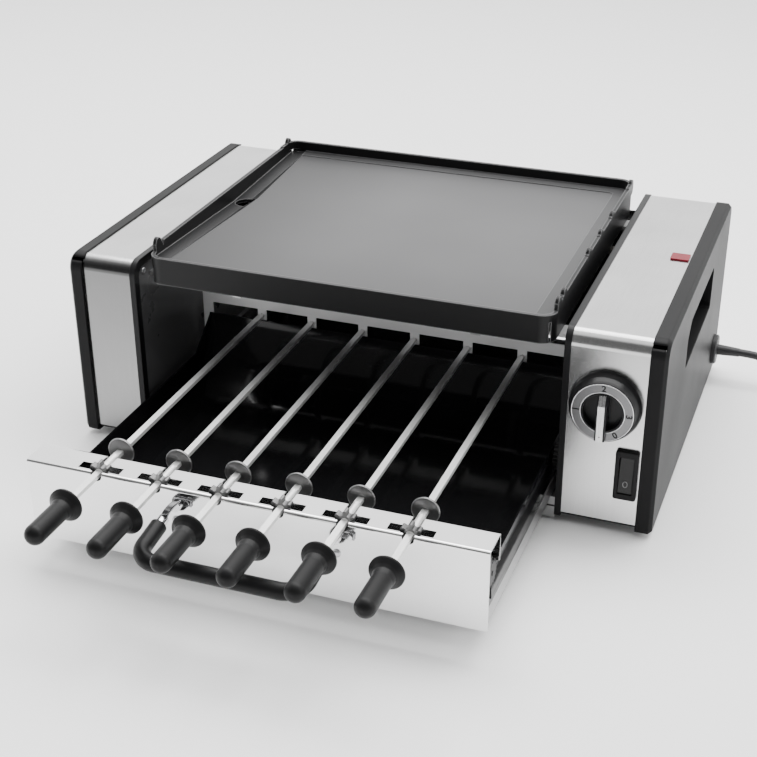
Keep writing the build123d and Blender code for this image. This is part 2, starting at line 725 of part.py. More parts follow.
def handle_path(start_gap):
    """U-shaped run of the handle, starting a given distance in front of its roots."""
    lift = (handle_root_z - handle_z) * start_gap / (handle_reach - handle_root_gap)
    with BuildLine() as path:
        FilletPolyline(
            (handle_left_x, handle_root_y - start_gap, handle_root_z - lift),
            (handle_left_x, handle_bar_y, handle_z),
            (handle_right_x, handle_bar_y, handle_z),
            (handle_right_x, handle_root_y - start_gap, handle_root_z - lift),
            radius=handle_bend,
        )
    return path.line


with BuildPart() as handle_tube:
    tube_path = handle_path(0)
    with BuildSketch(Plane(origin=tube_path @ 0, z_dir=tube_path % 0)):
        Circle(handle_tube_radius)
    sweep(path=tube_path)
write(handle_tube.part, "handle_tube")

with BuildPart() as handle_sleeve:
    sleeve_path = handle_path(handle_sleeve_start - handle_root_gap)
    with BuildSketch(Plane(origin=sleeve_path @ 0, z_dir=sleeve_path % 0)):
        Circle(handle_sleeve_radius)
        Circle(handle_tube_radius, mode=Mode.SUBTRACT)
    sweep(path=sleeve_path)
write(handle_sleeve.part, "handle_sleeve")

strap_plate_z = panel_top_z - 8.7
strap_clamp_y = handle_root_y + 0.6
with BuildPart() as handle_straps:
    for root_x in (handle_left_x, handle_right_x):
        with BuildSketch(Plane.XZ.offset(-panel_y)):
            with Locations((root_x + strap_offset, strap_plate_z)):
                RectangleRounded(15, strap_width, 1.5)
        extrude(amount=strap_thickness)
        with BuildLine() as arm:
            Spline(
                (root_x + strap_offset - 5, panel_y - strap_thickness / 2, strap_plate_z),
                (root_x + 2.5, panel_y - 4.2, (strap_plate_z + handle_root_z) / 2 + 2),
                (root_x, strap_clamp_y + strap_thickness / 2, handle_root_z + handle_tube_radius),
                tangents=((-0.7, -0.3, -0.6), (0, -0.1, -1)),
            )
        with BuildSketch(Plane(origin=arm.line @ 0, x_dir=(0, 1, 0), z_dir=arm.line % 0)):
            Rectangle(strap_thickness, strap_width)
        sweep(path=arm.line)
        with BuildSketch(Plane.XZ.offset(-strap_clamp_y)):
            with Locations((root_x, handle_root_z + 2)):
                RectangleRounded(2 * handle_tube_radius + 1, 2 * handle_tube_radius + 5, 2)
        extrude(amount=-strap_thickness)
write(handle_straps.part, "handle_straps")

with BuildPart() as handle_screws:
    for root_x in (handle_left_x, handle_right_x):
        with BuildSketch(Plane.XZ.offset(-panel_y + strap_thickness)):
            with Locations((root_x + strap_offset + 3.8, strap_plate_z)):
                Circle(2.3)
        extrude(amount=1.4)
write(handle_screws.part, "handle_screws")

# ---------------------------------------------------------------- skewers
for number, x in enumerate(skewer_x, start=1):
    name = "skewer_" + str(number)
    with BuildPart() as blade:
        with BuildSketch(Plane.XZ.offset(-flange_y)):
            with Locations((x, skewer_z)):
                Rectangle(blade_width, blade_thickness)
        extrude(amount=-(flange_from_panel + blade_end_from_panel))
        with BuildSketch(Plane.XZ.offset(-(star_y - star_thickness / 2))):
            with Locations((x, skewer_z)):
                Circle(skewer_bearing_radius)
        extrude(amount=-(panel_rear_y + 2 - star_y + star_thickness / 2))
        with BuildSketch(Plane.XZ.offset(-(panel_y + blade_end_from_panel))):
            with Locations((x, skewer_z)):
                Circle(tip_pin_radius)
        extrude(amount=-tip_pin_length)
        chamfer(blade.faces().sort_by(Axis.Y)[-1].edges(), 0.8)
    write(blade.part, name + "_blade")

    with BuildPart() as fittings:
        with BuildSketch(Plane.XZ.offset(-(star_y - star_thickness / 2))):
            with Locations((x, skewer_z)):
                Circle(star_root_radius)
                with PolarLocations(0, star_teeth, start_angle=-90):
                    with Locations((star_root_radius - 1, 0)):
                        SlotOverall(2 * (star_tip_radius - star_root_radius + 1), star_tooth_width)
                Circle(skewer_bearing_radius, mode=Mode.SUBTRACT)
        extrude(amount=-star_thickness)
        with BuildSketch(Plane.XZ.offset(-(panel_y + disc_from_panel))):
            with Locations((x, skewer_z)):
                Circle(disc_radius)
                Rectangle(blade_width, blade_thickness, mode=Mode.SUBTRACT)
        extrude(amount=-disc_thickness)
    write(fittings.part, name + "_star_and_disc")

    with BuildPart() as grip:
        with BuildSketch(Plane.YZ.offset(x)):
            with BuildLine():
                Polyline(
                    (flange_y, skewer_z),
                    (flange_y, skewer_z + flange_radius),
                    (flange_y - flange_rim, skewer_z + flange_radius),
                    (flange_root_y, skewer_z + grip_radius + grip_flare),
                    (flange_root_y - grip_flare_length / 3, skewer_z + grip_radius + grip_flare / 3),
                    (flange_root_y - grip_flare_length, skewer_z + grip_radius),
                    (grip_end_y + grip_dome, skewer_z + grip_radius),
                )
                ThreePointArc(
                    (grip_end_y + grip_dome, skewer_z + grip_radius),
                    (grip_end_y + 0.27 * grip_dome, skewer_z + 0.72 * grip_radius),
                    (grip_end_y, skewer_z + grip_tip_flat),
                )
                Polyline((grip_end_y, skewer_z + grip_tip_flat), (grip_end_y, skewer_z), (flange_y, skewer_z))
            make_face()
        revolve(axis=Axis((x, 0, skewer_z), (0, 1, 0)))
    write(grip.part, name + "_handle")

# ---------------------------------------------------------------- skewer drive
with BuildPart() as drive_shaft:
    shaft_start_x = cavity_x - panel_half + 8
    with BuildSketch(Plane.YZ.offset(shaft_start_x)):
        with Locations((star_y, worm_z)):
            Circle(shaft_radius)
    extrude(amount=gear_x + gear_width + 0.5 - shaft_start_x)
write(drive_shaft.part, "drive_shaft")

with BuildPart() as drive_gears:
    for x in skewer_x:
        worm_start_x = x - worm_length / 2
        with BuildSketch(Plane.YZ.offset(worm_start_x - worm_collar)):
            with Locations((star_y, worm_z)):
                Circle(worm_core_radius)
        extrude(amount=worm_length + 2 * worm_collar)
        thread_root = worm_core_radius - 0.3
        with BuildLine() as thread_path:
            Helix(pitch=worm_pitch, height=worm_length, radius=thread_root,
                  center=(worm_start_x, star_y, worm_z), direction=(1, 0, 0))
        with BuildSketch(Plane(origin=thread_path.line @ 0, x_dir=(1, 0, 0), z_dir=thread_path.line % 0)):
            with BuildLine():
                Polyline(
                    (-worm_flank_width / 2, 0),
                    (worm_flank_width / 2, 0),
                    (worm_crest_width / 2, worm_tip_radius - thread_root),
                    (-worm_crest_width / 2, worm_tip_radius - thread_root),
                    close=True,
                )
            make_face()
        sweep(path=thread_path.line, is_frenet=True)
        with BuildSketch(Plane.YZ.offset(worm_start_x - worm_collar)):
            with Locations((star_y, worm_z)):
                Circle(shaft_radius)
        extrude(amount=worm_length + 2 * worm_collar, mode=Mode.SUBTRACT)


def gear(low_x, axis_y, axis_z, teeth, bore, first_angle):
    """Straight spur gear on an axis along X, with tapered teeth."""
    pitch_radius = gear_module * teeth / 2
    root_radius = pitch_radius - gear_dedendum
    tip_radius = pitch_radius + gear_addendum
    with BuildPart() as wheel:
        with BuildSketch(Plane.YZ.offset(low_x)):
            with Locations((axis_y, axis_z)):
                Circle(root_radius)
                with PolarLocations(0, teeth, start_angle=first_angle):
                    Polygon(
                        (root_radius - 0.5, -0.95),
                        (tip_radius, -0.4),
                        (tip_radius, 0.4),
                        (root_radius - 0.5, 0.95),
                        align=None,
                    )
                Circle(bore, mode=Mode.SUBTRACT)
        extrude(amount=gear_width)
    return wheel.part


pinion_to_wheel = degrees(atan2(wheel_z - worm_z, wheel_y - star_y))
wheel_gap_turn = 180.0 / wheel_teeth
with drive_gears:
    add(gear(gear_x, star_y, worm_z, pinion_teeth, shaft_radius, pinion_to_wheel))
write(drive_gears.part, "drive_gears")
wheel_first_angle = pinion_to_wheel + 180 + wheel_gap_turn
wheel_bore = shaft_radius + shaft_fit
write(gear(gear_x, wheel_y, wheel_z, wheel_teeth, wheel_bore, wheel_first_angle), "transfer_gear")
mesh_direction = -motor_mesh_angle
teeth_along = (mesh_direction - wheel_first_angle) / (360 / wheel_teeth)
tooth_offset = (teeth_along - round(teeth_along)) * (360 / wheel_teeth)
motor_first_angle = mesh_direction + 180 + tooth_offset + wheel_gap_turn
motor_bore = shaft_radius + shaft_fit
write(gear(gear_x, motor_gear_y, motor_gear_z, wheel_teeth, motor_bore, motor_first_angle), "motor_gear")

# Bearing plates inside the drawer front: both ends of the shaft, and the transfer wheel's stub axle.
with BuildPart() as shaft_bearings:
    for plate_x in (shaft_start_x + 3, gear_x - 5):
        with BuildSketch(Plane.YZ.offset(plate_x)):
            with Locations((panel_y + sheet, panel_top_z - sheet)):
                Rectangle(panel_depth - 2 * sheet, 40, align=(Align.MIN, Align.MAX))
            with Locations((star_y, worm_z)):
                Circle(shaft_radius + shaft_fit, mode=Mode.SUBTRACT)
        extrude(amount=2)
    with BuildSketch(Plane.YZ.offset(gear_x - 3)):
        with Locations((wheel_y, wheel_z)):
            Circle(shaft_radius)
    extrude(amount=gear_width + 3.5)
write(shaft_bearings.part, "shaft_bearings")

with BuildPart() as gearmotor:
    motor_x = right_wrap_x + 1.5
    with BuildSketch(Plane.YZ.offset(motor_x)):
        with Locations((motor_gear_y + 8, motor_gear_z)):
            RectangleRounded(52, 44, 6)
    extrude(amount=17)
    with BuildSketch(Plane.YZ.offset(motor_x + 17)):
        with Locations((motor_gear_y + 12, motor_gear_z)):
            Circle(17)
    extrude(amount=14)
    with BuildSketch(Plane.YZ.offset(motor_x)):
        with Locations((motor_gear_y, motor_gear_z)):
            Circle(shaft_radius)
    extrude(amount=gear_x - motor_x)
write(gearmotor.part, "gearmotor")

# ---------------------------------------------------------------- controls
with BuildPart() as knob_bezel:
    with BuildSketch(Plane.YZ.offset(knob_x)):
        with BuildLine():
            Polyline(
                (front_y, knob_z + knob_inner_radius + knob_clearance),
                (front_y, knob_z + knob_base_radius),
                (front_y - 3.5, knob_z + knob_base_radius),
                (front_y - 8.5, knob_z + knob_base_radius - 0.25 * knob_bezel_width),
                (front_y - 12.0, knob_z + knob_base_radius - 0.6 * knob_bezel_width),
                (front_y - knob_bezel_height, knob_z + knob_face_radius + 0.6),
                (front_y - knob_bezel_height, knob_z + knob_face_radius),
                (front_y - knob_bezel_height + 0.8, knob_z + knob_face_radius),
                (front_y - knob_bezel_height + 0.8, knob_z + knob_inner_radius + knob_clearance),
                close=True,
            )
        make_face()
    revolve(axis=Axis((knob_x, 0, knob_z), (0, 1, 0)))
write(knob_bezel.part, "knob_bezel")

with BuildPart() as dial_ring:
    with BuildSketch(Plane.XZ.offset(-(front_y - knob_bezel_height + 0.8))):
        with Locations((knob_x, knob_z)):
            Circle(knob_face_radius)
            Circle(knob_inner_radius + knob_clearance, mode=Mode.SUBTRACT)
    extrude(amount=0.8)
write(dial_ring.part, "dial_ring")

knob_face_y = front_y - knob_bezel_height - knob_clearance
bar_low_z = knob_z - knob_face_radius + 1.4
bar_high_z = knob_z + knob_inner_radius - 1.2
bar_slope = 7.0               # the bar's upper end slopes back over this length
with BuildPart() as control_knob:
    with BuildSketch(Plane.XZ.offset(-(front_y - knob_bezel_height + knob_hollow_depth))):
        with Locations((knob_x, knob_z)):
            Circle(knob_inner_radius)
    extrude(amount=2.5)
    with BuildSketch(Plane.XZ.offset(-(front_y - knob_bezel_height + knob_hollow_depth))):
        with Locations((knob_x, knob_z)):
            Circle(knob_inner_radius)
            Circle(knob_inner_radius - 1.2, mode=Mode.SUBTRACT)
            Rectangle(knob_bar_width, 2 * knob_inner_radius - 1)
    extrude(amount=knob_hollow_depth + knob_clearance)
    with BuildSketch(Plane.YZ.offset(knob_x - knob_bar_width / 2)):
        with BuildLine():
            Polyline(
                (knob_face_y, bar_low_z),
                (knob_face_y - knob_bar_height, bar_low_z),
                (knob_face_y - knob_bar_height, bar_high_z - bar_slope),
                (knob_face_y - 0.5, bar_high_z),
                (knob_face_y, bar_high_z),
                close=True,
            )
        make_face()
    extrude(amount=knob_bar_width)
    with BuildSketch(Plane.XZ.offset(-(front_y - knob_bezel_height + knob_hollow_depth))):
        with Locations((knob_x, knob_z)):
            Circle(knob_shaft_radius)
    extrude(amount=-(knob_hollow_depth + 6))
write(control_knob.part, "control_knob")

with BuildPart() as knob_pointer:
    with BuildSketch(Plane.YZ.offset(knob_x - pointer_width / 2)):
        with BuildLine():
            Polyline(
                (knob_face_y - knob_bar_height, bar_low_z),
                (knob_face_y - knob_bar_height - pointer_thickness, bar_low_z),
                (knob_face_y - knob_bar_height - pointer_thickness, bar_high_z - bar_slope - 0.3),
                (knob_face_y - 0.5 - pointer_thickness, bar_high_z),
                (knob_face_y - 0.5, bar_high_z),
                (knob_face_y - knob_bar_height, bar_high_z - bar_slope),
                close=True,
            )
        make_face()
    extrude(amount=pointer_width)
write(knob_pointer.part, "knob_pointer")

with BuildPart() as thermostat:
    regulator_y = front_y + 12.0
    with BuildSketch(Plane.XZ.offset(-regulator_y)):
        with Locations((knob_x, knob_z)):
            Circle(19)
    extrude(amount=-22)
    with BuildSketch(Plane.XZ.offset(-(front_y + wrap_thickness))):
        with Locations((knob_x, knob_z)):
            Rectangle(46, 24)
            Circle(knob_shaft_radius + 2, mode=Mode.SUBTRACT)
    extrude(amount=-2)
write(thermostat.part, "thermostat")

rocker_y = front_y - 1.0
with BuildPart() as switch_housing:
    with BuildSketch(Plane.XZ.offset(-front_y)):
        with Locations((switch_x, switch_z)):
            RectangleRounded(switch_width, switch_height, 2)
            Rectangle(rocker_width + 2 * rocker_clearance, rocker_height + 2 * rocker_clearance,
                      mode=Mode.SUBTRACT)
    extrude(amount=switch_proud)
    fillet(switch_housing.faces().sort_by(Axis.Y)[0].outer_wire().edges(), 0.9)
    with BuildSketch(Plane.XZ.offset(-front_y)):
        with Locations((switch_x, switch_z)):
            Rectangle(switch_width - 4, switch_height - 6)
            Rectangle(rocker_width + 2 * rocker_clearance, rocker_height + 2 * rocker_clearance,
                      mode=Mode.SUBTRACT)
    extrude(amount=-14)
    with BuildSketch(Plane.XZ.offset(-(front_y + 14))):
        with Locations((switch_x, switch_z)):
            Rectangle(switch_width - 4, switch_height - 6)
    extrude(amount=-2)
write(switch_housing.part, "switch_housing")

with BuildPart() as rocker:
    # a shallow V across the face: the lower half stands out while the switch is off
    rise = rocker_height / 2 * tan(radians(rocker_rest_tilt))
    with BuildSketch(Plane.YZ.offset(switch_x - rocker_width / 2)):
        with BuildLine():
            Polyline(
                (rocker_y - 0.6 + rise, switch_z + rocker_height / 2 - 0.8),
                (rocker_y - 0.6, switch_z),
                (rocker_y - 0.6 - 0.9 * rise, switch_z - rocker_height / 2 + 0.8),
                (rocker_y + 1.2 - 0.9 * rise, switch_z - rocker_height / 2 + 0.8),
                (rocker_y + 5, switch_z),
                (rocker_y + 3.2 + rise, switch_z + rocker_height / 2 - 0.8),
                close=True,
            )
        make_face()
    extrude(amount=rocker_width)
write(rocker.part, "power_rocker")

with BuildPart() as lamp_lens:
    with BuildSketch(Plane.XY.offset(casing_height)):
        with Locations((right_wrap_end_x - lamp_width / 2 - 1, front_y + lamp_from_front)):
            RectangleRounded(lamp_width, lamp_depth, 1)
    extrude(amount=1.2)
    with BuildSketch(Plane.XY.offset(casing_height)):
        with Locations((right_wrap_end_x - lamp_width / 2 - 1, front_y + lamp_from_front)):
            Rectangle(lamp_width - 2.4, lamp_depth - 2.4)
    extrude(amount=-8)
write(lamp_lens.part, "lamp_lens")

# ---------------------------------------------------------------- mains lead
with BuildPart() as strain_relief:
    with BuildSketch(Plane.XZ.offset(-cord_y)):
        with BuildLine():
            Polyline(
                (right_face_x - right_cap_thickness + 1, cord_exit_z),
                (right_face_x - right_cap_thickness + 1, cord_exit_z + relief_root_radius),
                (right_face_x, cord_exit_z + relief_root_radius),
                (right_face_x, cord_exit_z + gland_radius),
                (right_face_x + gland_thickness - 1, cord_exit_z + gland_radius),
                (right_face_x + gland_thickness, cord_exit_z + gland_radius - 1),
                (right_face_x + gland_thickness, cord_exit_z + relief_root_radius),
                (right_face_x + relief_length, cord_exit_z + cord_radius + 0.4),
                (right_face_x + relief_length, cord_exit_z),
                close=True,
            )
        make_face()
    revolve(axis=Axis((0, cord_y, cord_exit_z), (1, 0, 0)))
write(strain_relief.part, "strain_relief")

cord_start = (right_face_x + relief_length, cord_y, cord_exit_z)
cord_points = [
    cord_start,
    (cord_start[0] + 22, cord_y, cord_exit_z),
    (cord_start[0] + 47, cord_y + 0.8, 18.5),
    (cord_start[0] + 72, cord_y - 1.5, 3.6),
    (cord_start[0] + 97, cord_y - 9, 3.6),
]


def arc_radii(points):
    """Largest arc at each corner: 0.45 of the shorter run over the tangent of half the turn."""
    radii = []
    for a, b, c in zip(points, points[1:], points[2:]):
        run_in = Vector(b) - Vector(a)
        run_out = Vector(c) - Vector(b)
        half_turn = radians(run_in.get_angle(run_out)) / 2
        radii.append(0.45 * min(run_in.length, run_out.length) / tan(half_turn))
    return radii


with BuildPart() as cord_lead:
    with BuildLine() as cord_path:
        FilletPolyline(*cord_points, radius=arc_radii(cord_points))
    with BuildSketch(Plane(origin=cord_path.line @ 0, z_dir=cord_path.line % 0)):
        Circle(cord_radius)
    sweep(path=cord_path.line)
write(cord_lead.part, "cord_lead")
print("cord radii", [round(r, 1) for r in arc_radii(cord_points)])
cord_run = sum(edge.length for edge in cord_path.edges())
straight_cord_volume = pi * cord_radius**2 * cord_run
print("cord run", round(cord_run, 1), "volume ratio", cord_lead.part.volume / straight_cord_volume)

# The coiled length: three flat turns, with a short straight stub where the lead runs in.
coil_mean_radius = 38.0
coil_turns = 3
coil_layers = 2
cord_end = cord_points[-1]
lead_angle = atan2(cord_end[1] - cord_points[-2][1], cord_end[0] - cord_points[-2][0])
coil_width = coil_turns * 2 * cord_radius
coil_height = coil_layers * 2 * cord_radius
coil_slack = 0.4              # the closed ring stands this far outside its turns
coil_outer_radius = coil_mean_radius + coil_width / 2 + coil_slack
coil_entry_radius = coil_mean_radius + coil_width / 2 - cord_radius
stub_length = sqrt(coil_outer_radius**2 - (coil_entry_radius - cord_radius) ** 2) + 2
coil_x = cord_end[0] + stub_length * cos(lead_angle) + coil_entry_radius * sin(lead_angle)
coil_y = cord_end[1] + stub_length * sin(lead_angle) - coil_entry_radius * cos(lead_angle)
with BuildPart() as cord_coil:
    with BuildSketch(Plane.XZ.offset(-coil_y)):
        with Locations((coil_x + coil_mean_radius, 0)):
            RectangleRounded(coil_width + 2 * coil_slack, coil_height + coil_slack, cord_radius,
                             align=(Align.CENTER, Align.MIN))
    revolve(axis=Axis((coil_x, coil_y, 0), (0, 0, 1)))
    with BuildSketch(Plane(origin=cord_end, z_dir=(cos(lead_angle), sin(lead_angle), 0))):
        Circle(cord_radius)
    extrude(amount=stub_length)
write(cord_coil.part, "cord_coil")

plug_length = 44.0
plug_width = 24.0
plug_height = 16.0
plug_corner = 7.0
plug_x = coil_x - 12          # the plug lies across the coil, where the lead leaves it
plug_y = coil_y - 26
plug_z = coil_height + coil_slack
pin_radius = 2.0
pin_length = 19.0
pin_spacing = 8.0
pin_mid_height = plug_height / 2 + 1
earth_pin_drop = 3.0
with BuildPart() as mains_plug:
    with BuildSketch(Plane.XY.offset(plug_z)):
        with Locations((plug_x, plug_y)):
            RectangleRounded(plug_length, plug_width, plug_corner)
    extrude(amount=plug_height)
    with BuildSketch(Plane.YZ.offset(plug_x - plug_length / 2)):
        with Locations(
            (plug_y - pin_spacing, plug_z + pin_mid_height),
            (plug_y, plug_z + pin_mid_height - earth_pin_drop),
            (plug_y + pin_spacing, plug_z + pin_mid_height),
        ):
            Circle(pin_radius)
    extrude(amount=-pin_length)
write(mains_plug.part, "mains_plug")
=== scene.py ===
import math

import bpy
import numpy as np
from mathutils import Matrix, Vector


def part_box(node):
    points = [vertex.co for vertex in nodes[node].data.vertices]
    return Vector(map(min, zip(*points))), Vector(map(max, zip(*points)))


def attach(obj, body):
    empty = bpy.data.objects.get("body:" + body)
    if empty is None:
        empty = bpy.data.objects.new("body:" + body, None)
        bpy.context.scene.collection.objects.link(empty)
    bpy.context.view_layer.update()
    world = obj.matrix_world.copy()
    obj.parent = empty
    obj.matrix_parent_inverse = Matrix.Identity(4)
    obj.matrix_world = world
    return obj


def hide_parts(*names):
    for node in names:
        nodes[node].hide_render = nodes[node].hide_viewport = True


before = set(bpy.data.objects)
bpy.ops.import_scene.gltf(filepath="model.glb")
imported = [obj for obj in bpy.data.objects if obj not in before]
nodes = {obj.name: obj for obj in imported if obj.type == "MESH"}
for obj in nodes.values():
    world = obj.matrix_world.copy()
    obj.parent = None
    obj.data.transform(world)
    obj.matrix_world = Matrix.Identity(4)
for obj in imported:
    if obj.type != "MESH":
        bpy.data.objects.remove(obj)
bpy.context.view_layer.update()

# ---- Camera --------------------------------------------------------------
# A medium telephoto lens, in front of the grill, a little to its right and
# above it, looking down at the pan and the pulled-out drawer.
azimuth, elevation, roll = math.radians(19.630), math.radians(28.056), math.radians(0.154)
back = Vector((math.sin(azimuth) * math.cos(elevation), -math.cos(azimuth) * math.cos(elevation),
               math.sin(elevation)))
level = Vector((math.cos(azimuth), math.sin(azimuth), 0))
upward = back.cross(level)
right = level * math.cos(roll) + upward * math.sin(roll)
up = back.cross(right)
lens_data = bpy.data.cameras.new("camera")
lens_data.sensor_width = 36.0
lens_data.lens = 68.915
lens_data.shift_x = -0.0226
lens_data.shift_y = 0.0149
lens_data.clip_start = 0.05
camera = bpy.data.objects.new("camera", lens_data)
camera.matrix_world = Matrix(((right.x, up.x, back.x, 0.37131), (right.y, up.y, back.y, -0.95848),
                              (right.z, up.z, back.z, 0.62202), (0, 0, 0, 1)))
bpy.context.scene.collection.objects.link(camera)
bpy.context.scene.camera = camera

# ---- Mains lead ----------------------------------------------------------
# A round black PVC lead. It leaves the right end cap through a tapered
# strain relief, drops to the table and is put away in a flat coil of two
# lower turns and one upper turn, with its plug lying on top.
def box_of(name):
    low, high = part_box(name)
    return np.array(low), np.array(high)


def noise_bump(tree, scale, strength, distance, coords, detail=4.0, stretch=None):
    """Bump from noise: height = noise(scale * stretched coordinates)."""
    noise = tree.nodes.new("ShaderNodeTexNoise")
    noise.inputs["Scale"].default_value = scale
    noise.inputs["Detail"].default_value = detail
    source = coords
    if stretch is not None:
        mapping = tree.nodes.new("ShaderNodeMapping")
        mapping.inputs["Scale"].default_value = stretch
        tree.links.new(coords, mapping.inputs["Vector"])
        source = mapping.outputs["Vector"]
    tree.links.new(source, noise.inputs["Vector"])
    bump = tree.nodes.new("ShaderNodeBump")
    bump.inputs["Strength"].default_value = strength
    bump.inputs["Distance"].default_value = distance
    tree.links.new(noise.outputs["Fac"], bump.inputs["Height"])
    return noise, bump


def finish_material(name, dark, light, rough, metallic=0.0, scale=900.0, strength=0.15, distance=0.0002,
                    stretch=None, coat=0.0, specular=0.5, ior=1.5, edge_width=None, cloud=6.0, detail=4.0):
    """Principled finish: colour mixes dark and light by a slow noise, roughness runs between the two values
    of rough by the same noise, and a fine noise gives the bump. edge_width rounds the shading at sharp
    corners."""
    material = bpy.data.materials.new(name)
    material.use_nodes = True
    tree = material.node_tree
    shader = tree.nodes["Principled BSDF"]
    shader.inputs["Metallic"].default_value = metallic
    shader.inputs["Specular IOR Level"].default_value = specular
    shader.inputs["IOR"].default_value = ior
    shader.inputs["Coat Weight"].default_value = coat
    shader.inputs["Coat Roughness"].default_value = 0.06
    coords = tree.nodes.new("ShaderNodeTexCoord").outputs["Object"]
    slow = tree.nodes.new("ShaderNodeTexNoise")
    slow.inputs["Scale"].default_value = cloud
    slow.inputs["Detail"].default_value = 5.0
    tree.links.new(coords, slow.inputs["Vector"])
    colour = tree.nodes.new("ShaderNodeMix")
    colour.data_type = "RGBA"
    colour.inputs["A"].default_value = (*dark, 1)
    colour.inputs["B"].default_value = (*light, 1)
    tree.links.new(slow.outputs["Fac"], colour.inputs["Factor"])
    tree.links.new(colour.outputs["Result"], shader.inputs["Base Color"])
    gloss = tree.nodes.new("ShaderNodeMapRange")
    gloss.inputs["From Min"].default_value = 0.3
    gloss.inputs["From Max"].default_value = 0.7
    gloss.inputs["To Min"].default_value = rough[0]
    gloss.inputs["To Max"].default_value = rough[1]
    fine, bump = noise_bump(tree, scale, strength, distance, coords, detail, stretch)
    blend = tree.nodes.new("ShaderNodeMath")
    blend.operation = "MULTIPLY_ADD"
    blend.inputs[1].default_value = 0.4
    tree.links.new(fine.outputs["Fac"], blend.inputs[0])
    share = tree.nodes.new("ShaderNodeMath")
    share.operation = "MULTIPLY"
    share.inputs[1].default_value = 0.6
    tree.links.new(slow.outputs["Fac"], share.inputs[0])
    tree.links.new(share.outputs[0], blend.inputs[2])
    tree.links.new(blend.outputs[0], gloss.inputs["Value"])
    tree.links.new(gloss.outputs["Result"], shader.inputs["Roughness"])
    if edge_width:
        rounded = tree.nodes.new("ShaderNodeBevel")
        rounded.samples = 4
        rounded.inputs["Radius"].default_value = edge_width
        tree.links.new(rounded.outputs["Normal"], bump.inputs["Normal"])
    tree.links.new(bump.outputs["Normal"], shader.inputs["Normal"])
    return material


def paint(name, material):
    """Every face of a CAD node takes one finish."""
    mesh = nodes[name].data
    mesh.materials.clear()
    mesh.materials.append(material)


lead_pvc = finish_material("lead_pvc", (0.012, 0.012, 0.013), (0.02, 0.02, 0.021), (0.42, 0.6), scale=1500,
                           strength=0.08)
# the route of the lead: down to the table, two lower turns winding in, a climb, an upper turn winding out,
# and a bend into the plug
route = [(0.269, 0.263, 0.030), (0.291, 0.263, 0.030), (0.316, 0.2638, 0.0185), (0.341, 0.2605, 0.0036),
         (0.366, 0.2535, 0.0036)]
plug_low, plug_high = box_of("mains_plug")
coil_low, coil_high = box_of("cord_coil")
coil_reach = 0.0489
coil_x, coil_y = coil_high[0] - coil_reach, coil_low[1] + coil_reach
entry_angle = math.radians(73.3)
turns = np.arange(0, 3.2, 1 / 14)
angle = entry_angle - 2 * math.pi * turns
inward = 0.045 - 0.007 * np.minimum(turns, 2.0)
outward = 0.031 + 0.007 * np.maximum(turns - 2.2, 0.0)
radius = np.where(turns < 2.0, inward, outward) * 1.0085
height = 0.0036 + 0.0072 * np.clip((turns - 1.85) / 0.35, 0, 1)
winding = np.stack([coil_x + radius * np.cos(angle), coil_y + radius * np.sin(angle), height], 1)
plug_back = np.array((plug_high[0], (plug_low[1] + plug_high[1]) / 2, plug_low[2] + 0.008))
# equal legs turn the lead from its last heading on the coil to the plug's own axis
last_leg = winding[-1] - winding[-2]
heading = np.linspace(math.atan2(last_leg[1], last_leg[0]), -math.pi, 5)[1:-1]
leg = (winding[-1][1] - plug_back[1]) / -np.sin(heading).sum()
into_plug = winding[-1] + leg * np.cumsum(np.stack([np.cos(heading), np.sin(heading), 0 * heading], 1), 0)
line_points = np.array(route + list(winding) + list(into_plug) + [into_plug[-1] - (leg / 2, 0, 0)])
climb = len(into_plug) + 4
rise = np.linspace(0, 1, climb)
line_points[-climb:, 2] = 0.0108 + (plug_back[2] - 0.0108) * rise**2 * (3 - 2 * rise)
cord_curve = bpy.data.curves.new("mains_cord", "CURVE")
cord_curve.dimensions = "3D"
cord_curve.bevel_depth = 0.0035
cord_curve.bevel_resolution = 6
cord_curve.resolution_u = 6
cord_curve.use_fill_caps = True
spline = cord_curve.splines.new("NURBS")
spline.points.add(len(line_points) - 1)
spline.points.foreach_set("co", np.column_stack([line_points,
                                                 np.ones(len(line_points))]).astype(np.float32).ravel())
spline.order_u = 3
spline.use_endpoint_u = True
cord_curve.materials.append(lead_pvc)
mains_cord = bpy.data.objects.new("mains_cord", cord_curve)
bpy.context.scene.collection.objects.link(mains_cord)
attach(mains_cord, "grill_body")
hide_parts("cord_lead", "cord_coil")
paint("strain_relief", lead_pvc)
paint("mains_plug", lead_pvc)

# ---- End caps --------------------------------------------------------------
# Two injection-moulded black plastic covers that clip over the outer sides of
# the casings. They have a fine spark-eroded grain, softened edges and a hand
# recess that was tooled smooth.
cap_plastic = finish_material("cap_plastic", (0.005, 0.005, 0.0053), (0.009, 0.009, 0.0094), (0.40, 0.52),
                              scale=2600, strength=0.25, distance=0.0001, ior=1.2, edge_width=0.0016,
                              cloud=9.0, detail=2.0)
for name in ("left_end_cap", "right_end_cap"):
    paint(name, cap_plastic)

# ---- Steel wraps -----------------------------------------------------------
# Each casing is closed by one strip of stainless sheet, brushed along its
# length and bent over the front, top and back. The brushing runs with the
# strip, up the front and back and along the top.
foot_z, bend_z = 0.020, 0.155


